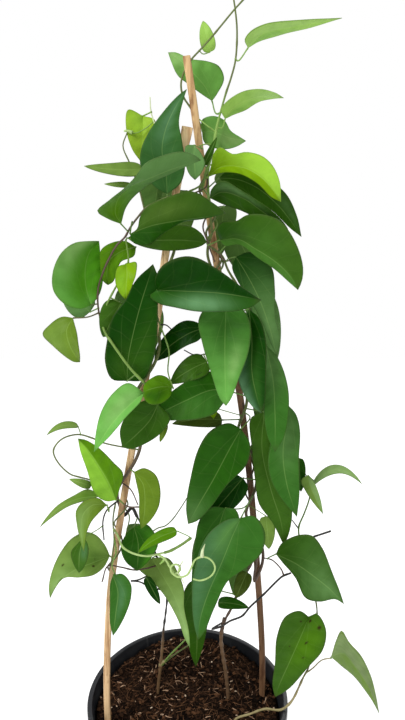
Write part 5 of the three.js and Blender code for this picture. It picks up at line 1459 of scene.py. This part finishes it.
@dataclass
class Soil:
    """The potting mix: a lumpy body, with coir threads, bark chips and pale bits strewn on it."""

    seed: int = 7
    threads: int = 1100
    chips: int = 1500
    rings: int = 90
    spokes: int = 300
    skirt: int = 12
    thread_reach: float = 94.0
    chip_reach: float = 97.0
    sliver_share: float = 0.16
    pale_share: float = 0.06

    @staticmethod
    def level(x: float, y: float) -> float:
        """Gives the solid's own height at a place, in millimetres."""
        back = max(0.0, y / RIM_RADIUS)
        right = max(0.0, x / RIM_RADIUS)
        heap = SOIL_HEAP * back * back - 0.7 * SOIL_HEAP * right * right * (1 - back)
        lumps = 1.3 * math.sin(x * 0.13 + 1) * math.cos(y * 0.17) + 0.9 * math.sin(x * 0.31 - y * 0.27)
        return SOIL_LEVEL + heap + lumps

    def height(self, x: float, y: float) -> float:
        """Gives the height with crumbs, in millimetres."""
        coarse = noise.fractal(Vector((x, y, 3.0)) * 0.16, 0.9, 2.1, 4)
        fine = noise.fractal(Vector((x, y, 9.0)) * 0.55, 0.8, 2.2, 3)
        return self.level(x, y) + 1.2 * coarse + 0.7 * fine

    def body(self) -> bpy.types.Object:
        """Builds the soil's block with its crumbly top."""
        edge_z = POT_HEIGHT - RIM_BAND_HEIGHT - 3.0
        edge = Pot.wall(POT_HEIGHT - RIM_BAND_HEIGHT) - POT_WALL - 0.3
        foot = POT_FOOT_RADIUS - POT_WALL - 0.3
        skirt = self.skirt

        def place(u: float, v: float) -> Vector:
            """Places a grid point: the underside, the side wall, then the crumbly top inwards."""
            turn = 2 * math.pi * u
            row = v * (self.rings + skirt)
            if row <= 2:
                radius, z = (0.01 + foot * row / 2, POT_FLOOR + 0.3)
            elif row <= skirt:
                t = (row - 2) / (skirt - 2)
                radius, z = foot + (edge - 1.2 - foot) * t, POT_FLOOR + 0.3 + (edge_z - 8 - POT_FLOOR) * t
            else:
                t = (row - skirt) / self.rings
                radius = (edge - 1.2) * max(0.0001, 1 - t)
                x, y = radius * math.cos(turn), radius * math.sin(turn)
                z = self.height(x, y) - 1.5 * smooth(0.05, 0.0, t)
                return Vector((x, y, z))
            return Vector((radius * math.cos(turn), radius * math.sin(turn), z))

        return shaped_grid("soil_body", self.spokes, self.rings + skirt, place, around=True)

    def strewn(self, draw: random.Random, reach: float) -> Vector:
        """Draws a place on the soil's top within a radius."""
        radius, turn = reach * math.sqrt(draw.random()), draw.uniform(0, 2 * math.pi)
        x, y = radius * math.cos(turn), radius * math.sin(turn)
        return Vector((x, y, self.height(x, y)))

    def thread(self, draw: random.Random) -> Strand:
        """Plans one coir thread or pale sliver that lies on the crumbs."""
        reach = self.thread_reach
        start = self.strewn(draw, reach)
        sliver = draw.random() < self.sliver_share
        turn, bend = draw.uniform(0, 2 * math.pi), 0.0 if sliver else draw.uniform(-0.5, 0.5)
        length = draw.uniform(3.0, 8.0) if sliver else draw.uniform(4.0, 14.0)
        points = []
        for i in range(3):
            angle = turn + bend * i / 2
            x = start.x + math.cos(angle) * length * i / 2
            y = start.y + math.sin(angle) * length * i / 2
            scale = min(1.0, reach / max(1.0, math.hypot(x, y)))
            x, y = x * scale, y * scale
            points.append(Vector((x, y, self.height(x, y) + 0.5 + draw.uniform(0.0, 0.9))))
        brown = mixed(display(44, 29, 20), display(136, 98, 70), draw.random() ** 1.6)
        tone = mixed(display(112, 84, 64), display(188, 156, 128), draw.random() ** 1.4) if sliver else brown
        thick = draw.uniform(0.45, 0.85) if sliver else draw.uniform(0.18, 0.34)
        return Strand(Course(points), lambda s: thick * (1 - 0.5 * s), lambda s: tone)

    def chip(self, draw: random.Random, crumb: bpy.types.Object) -> bpy.types.Object:
        """Copies the crumb as one more crumb, chip or pale bit, out of shape and in its own place."""
        piece = crumb.copy()
        piece.data = crumb.data.copy()
        bpy.context.scene.collection.objects.link(piece)
        place = self.strewn(draw, self.chip_reach)
        pale = draw.random() < self.pale_share
        size = draw.uniform(0.5, 1.3) if pale else draw.uniform(0.7, 2.3)
        turn = draw.uniform(0, math.pi)
        long, flat = draw.uniform(1.0, 2.0), draw.uniform(0.35, 0.8)
        for vertex in piece.data.vertices:
            jag = vertex.co * (size * draw.uniform(0.7, 1.2))
            across, along = jag.x * long, jag.y
            x = across * math.cos(turn) - along * math.sin(turn)
            y = across * math.sin(turn) + along * math.cos(turn)
            vertex.co = (place + Vector((x, y, jag.z * flat + 0.3))) * MM
        dark = mixed(display(14, 9, 6), display(88, 60, 40), draw.random() ** 2)
        tone = mixed(display(140, 112, 88), display(206, 184, 160), draw.random()) if pale else dark
        painted(piece, "tone", [tone] * len(piece.data.vertices))
        return piece

    def build(self) -> None:
        """Builds the soil and its litter."""
        body = self.body()
        choose(body)
        bpy.ops.object.shade_smooth()
        body.data.materials.append(SoilFinish().material())
        draw = random.Random(self.seed)
        threads = tubes("soil_coir", [self.thread(draw) for _ in range(self.threads)], 4, 2.5)
        settle()
        bpy.ops.mesh.primitive_ico_sphere_add(subdivisions=1, radius=1.0)
        crumb = bpy.context.object
        chips = merged("soil_chips", [self.chip(draw, crumb) for _ in range(self.chips)])
        bpy.data.objects.remove(crumb)
        choose(chips)
        bpy.ops.object.shade_flat()
        litter = LitterFinish().material()
        for piece in (threads, chips):
            piece.data.materials.append(litter)
        for piece in (body, threads, chips):
            attached(piece, "soil")


@dataclass
class Studio:
    """The pale floor, the soft lights and the camera at the front view."""

    floor_size: float = 5.0
    floor_glow: float = 0.42
    sky_light: float = 0.57
    sensor: float = 36.0
    lights: tuple[tuple[str, Spot, float, float], ...] = (
        ("key", (-1.2, -1.2, 2.0), 1.0, 38.0),
        ("fill", (1.4, -1.6, 1.1), 1.6, 8.0),
        ("rim", (0.8, 1.5, 1.9), 1.2, 14.0),
    )

    def build(self) -> None:
        """Builds the studio."""
        settle()
        bpy.ops.mesh.primitive_plane_add(size=self.floor_size, location=(0.0, 0.0, 0.0))
        floor = bpy.context.object
        floor.name = "studio_floor"
        pale = Finish("studio_floor", 0.9, 0.1)
        pale.shader.inputs["Base Color"].default_value = (0.85, 0.85, 0.85, 1.0)
        pale.shader.inputs["Emission Color"].default_value = (1.0, 1.0, 1.0, 1.0)
        pale.shader.inputs["Emission Strength"].default_value = self.floor_glow
        floor.data.materials.append(pale.material)
        world = bpy.data.worlds.new("studio")
        world.use_nodes = True
        nodes, links = world.node_tree.nodes, world.node_tree.links
        sky = nodes["Background"]
        sky.inputs["Color"].default_value = (1.0, 1.0, 1.0, 1.0)
        path, level = nodes.new("ShaderNodeLightPath"), nodes.new("ShaderNodeMapRange")
        level.inputs["To Min"].default_value = self.sky_light
        links.new(path.outputs["Is Camera Ray"], level.inputs["Value"])
        links.new(level.outputs["Result"], sky.inputs["Strength"])
        bpy.context.scene.world = world
        aim = Vector((0.0, 0.0, 0.5))
        for name, place, size, power in self.lights:
            lamp = bpy.data.lights.new(name, "AREA")
            lamp.size, lamp.energy = size, power
            light = bpy.data.objects.new(name, lamp)
            light.location = place
            light.rotation_euler = (aim - Vector(place)).to_track_quat("-Z", "Y").to_euler()
            bpy.context.scene.collection.objects.link(light)
        lens = bpy.data.cameras.new("front")
        lens.sensor_width = self.sensor
        lens.lens = FRAME_FOCAL / FRAME_SIZE[1] * self.sensor
        camera = bpy.data.objects.new("front", lens)
        camera.location = EYE * MM
        camera.rotation_euler = (math.radians(90) - EYE_PITCH, 0.0, 0.0)
        bpy.context.scene.collection.objects.link(camera)
        bpy.context.scene.camera = camera
        bpy.context.scene.view_settings.view_transform = "Standard"


def main() -> None:
    """Builds the studio, the pot, the soil, the stakes and the vines."""
    logging.basicConfig(level=logging.INFO, format="%(name)s %(message)s")
    Studio().build()
    Pot().build()
    Soil().build()
    # On the left stake the pale colour above 0.66 m is painted light, a lit top.
    left_stake = Stake("stake_left", STAKE_LEFT_SPOTS, STAKE_LEFT_FOOT, BambooFinish(
        "bamboo_left", display(250, 218, 168), display(216, 184, 140), 0.56, 0.66,
    ), flare=0.45)
    right_stake = Stake("stake_right", STAKE_RIGHT_SPOTS, STAKE_RIGHT_FOOT, BambooFinish(
        "bamboo_right", display(208, 174, 126), display(122, 90, 64), 0.52, 0.72,
    ))
    left_stake.build()
    right_stake.build()
    skin = StemFinish().material()
    upper = LeafFinish().material()
    under = LeafFinish(under=True).material()
    parts = ("top", "middle", "waist", "low")
    left = (LEFT_TOP_LEAVES, LEFT_MIDDLE_LEAVES, LEFT_WAIST_LEAVES, LEFT_LOW_LEAVES)
    right = (RIGHT_TOP_LEAVES, RIGHT_MIDDLE_LEAVES, RIGHT_WAIST_LEAVES, RIGHT_LOW_LEAVES)
    for vine in (
        Vine(
            "vine_left", LEFT_WOOD, WOOD_RADIUS * 0.8, Bark.WOOD, LEFT_STEMS, dict(zip(parts, left)),
            left_stake.course(), LEFT_TWINES, Bark.BLACK, 0.4,
        ),
        Vine(
            "vine_right", RIGHT_WOOD, WOOD_RADIUS, Bark.RED, RIGHT_STEMS, dict(zip(parts, right)),
            right_stake.course(), RIGHT_TWINES, Bark.UMBER, 0.58,
        ),
        Vine(
            "vine_trailing", TRAILING_WOOD, TRAILING_RADIUS, Bark.TAN, TRAILING_STEMS,
            {"leaves": TRAILING_LEAVES},
        ),
    ):
        vine.build(skin, upper, under)
    settle()


if __name__ == "__main__":
    main()
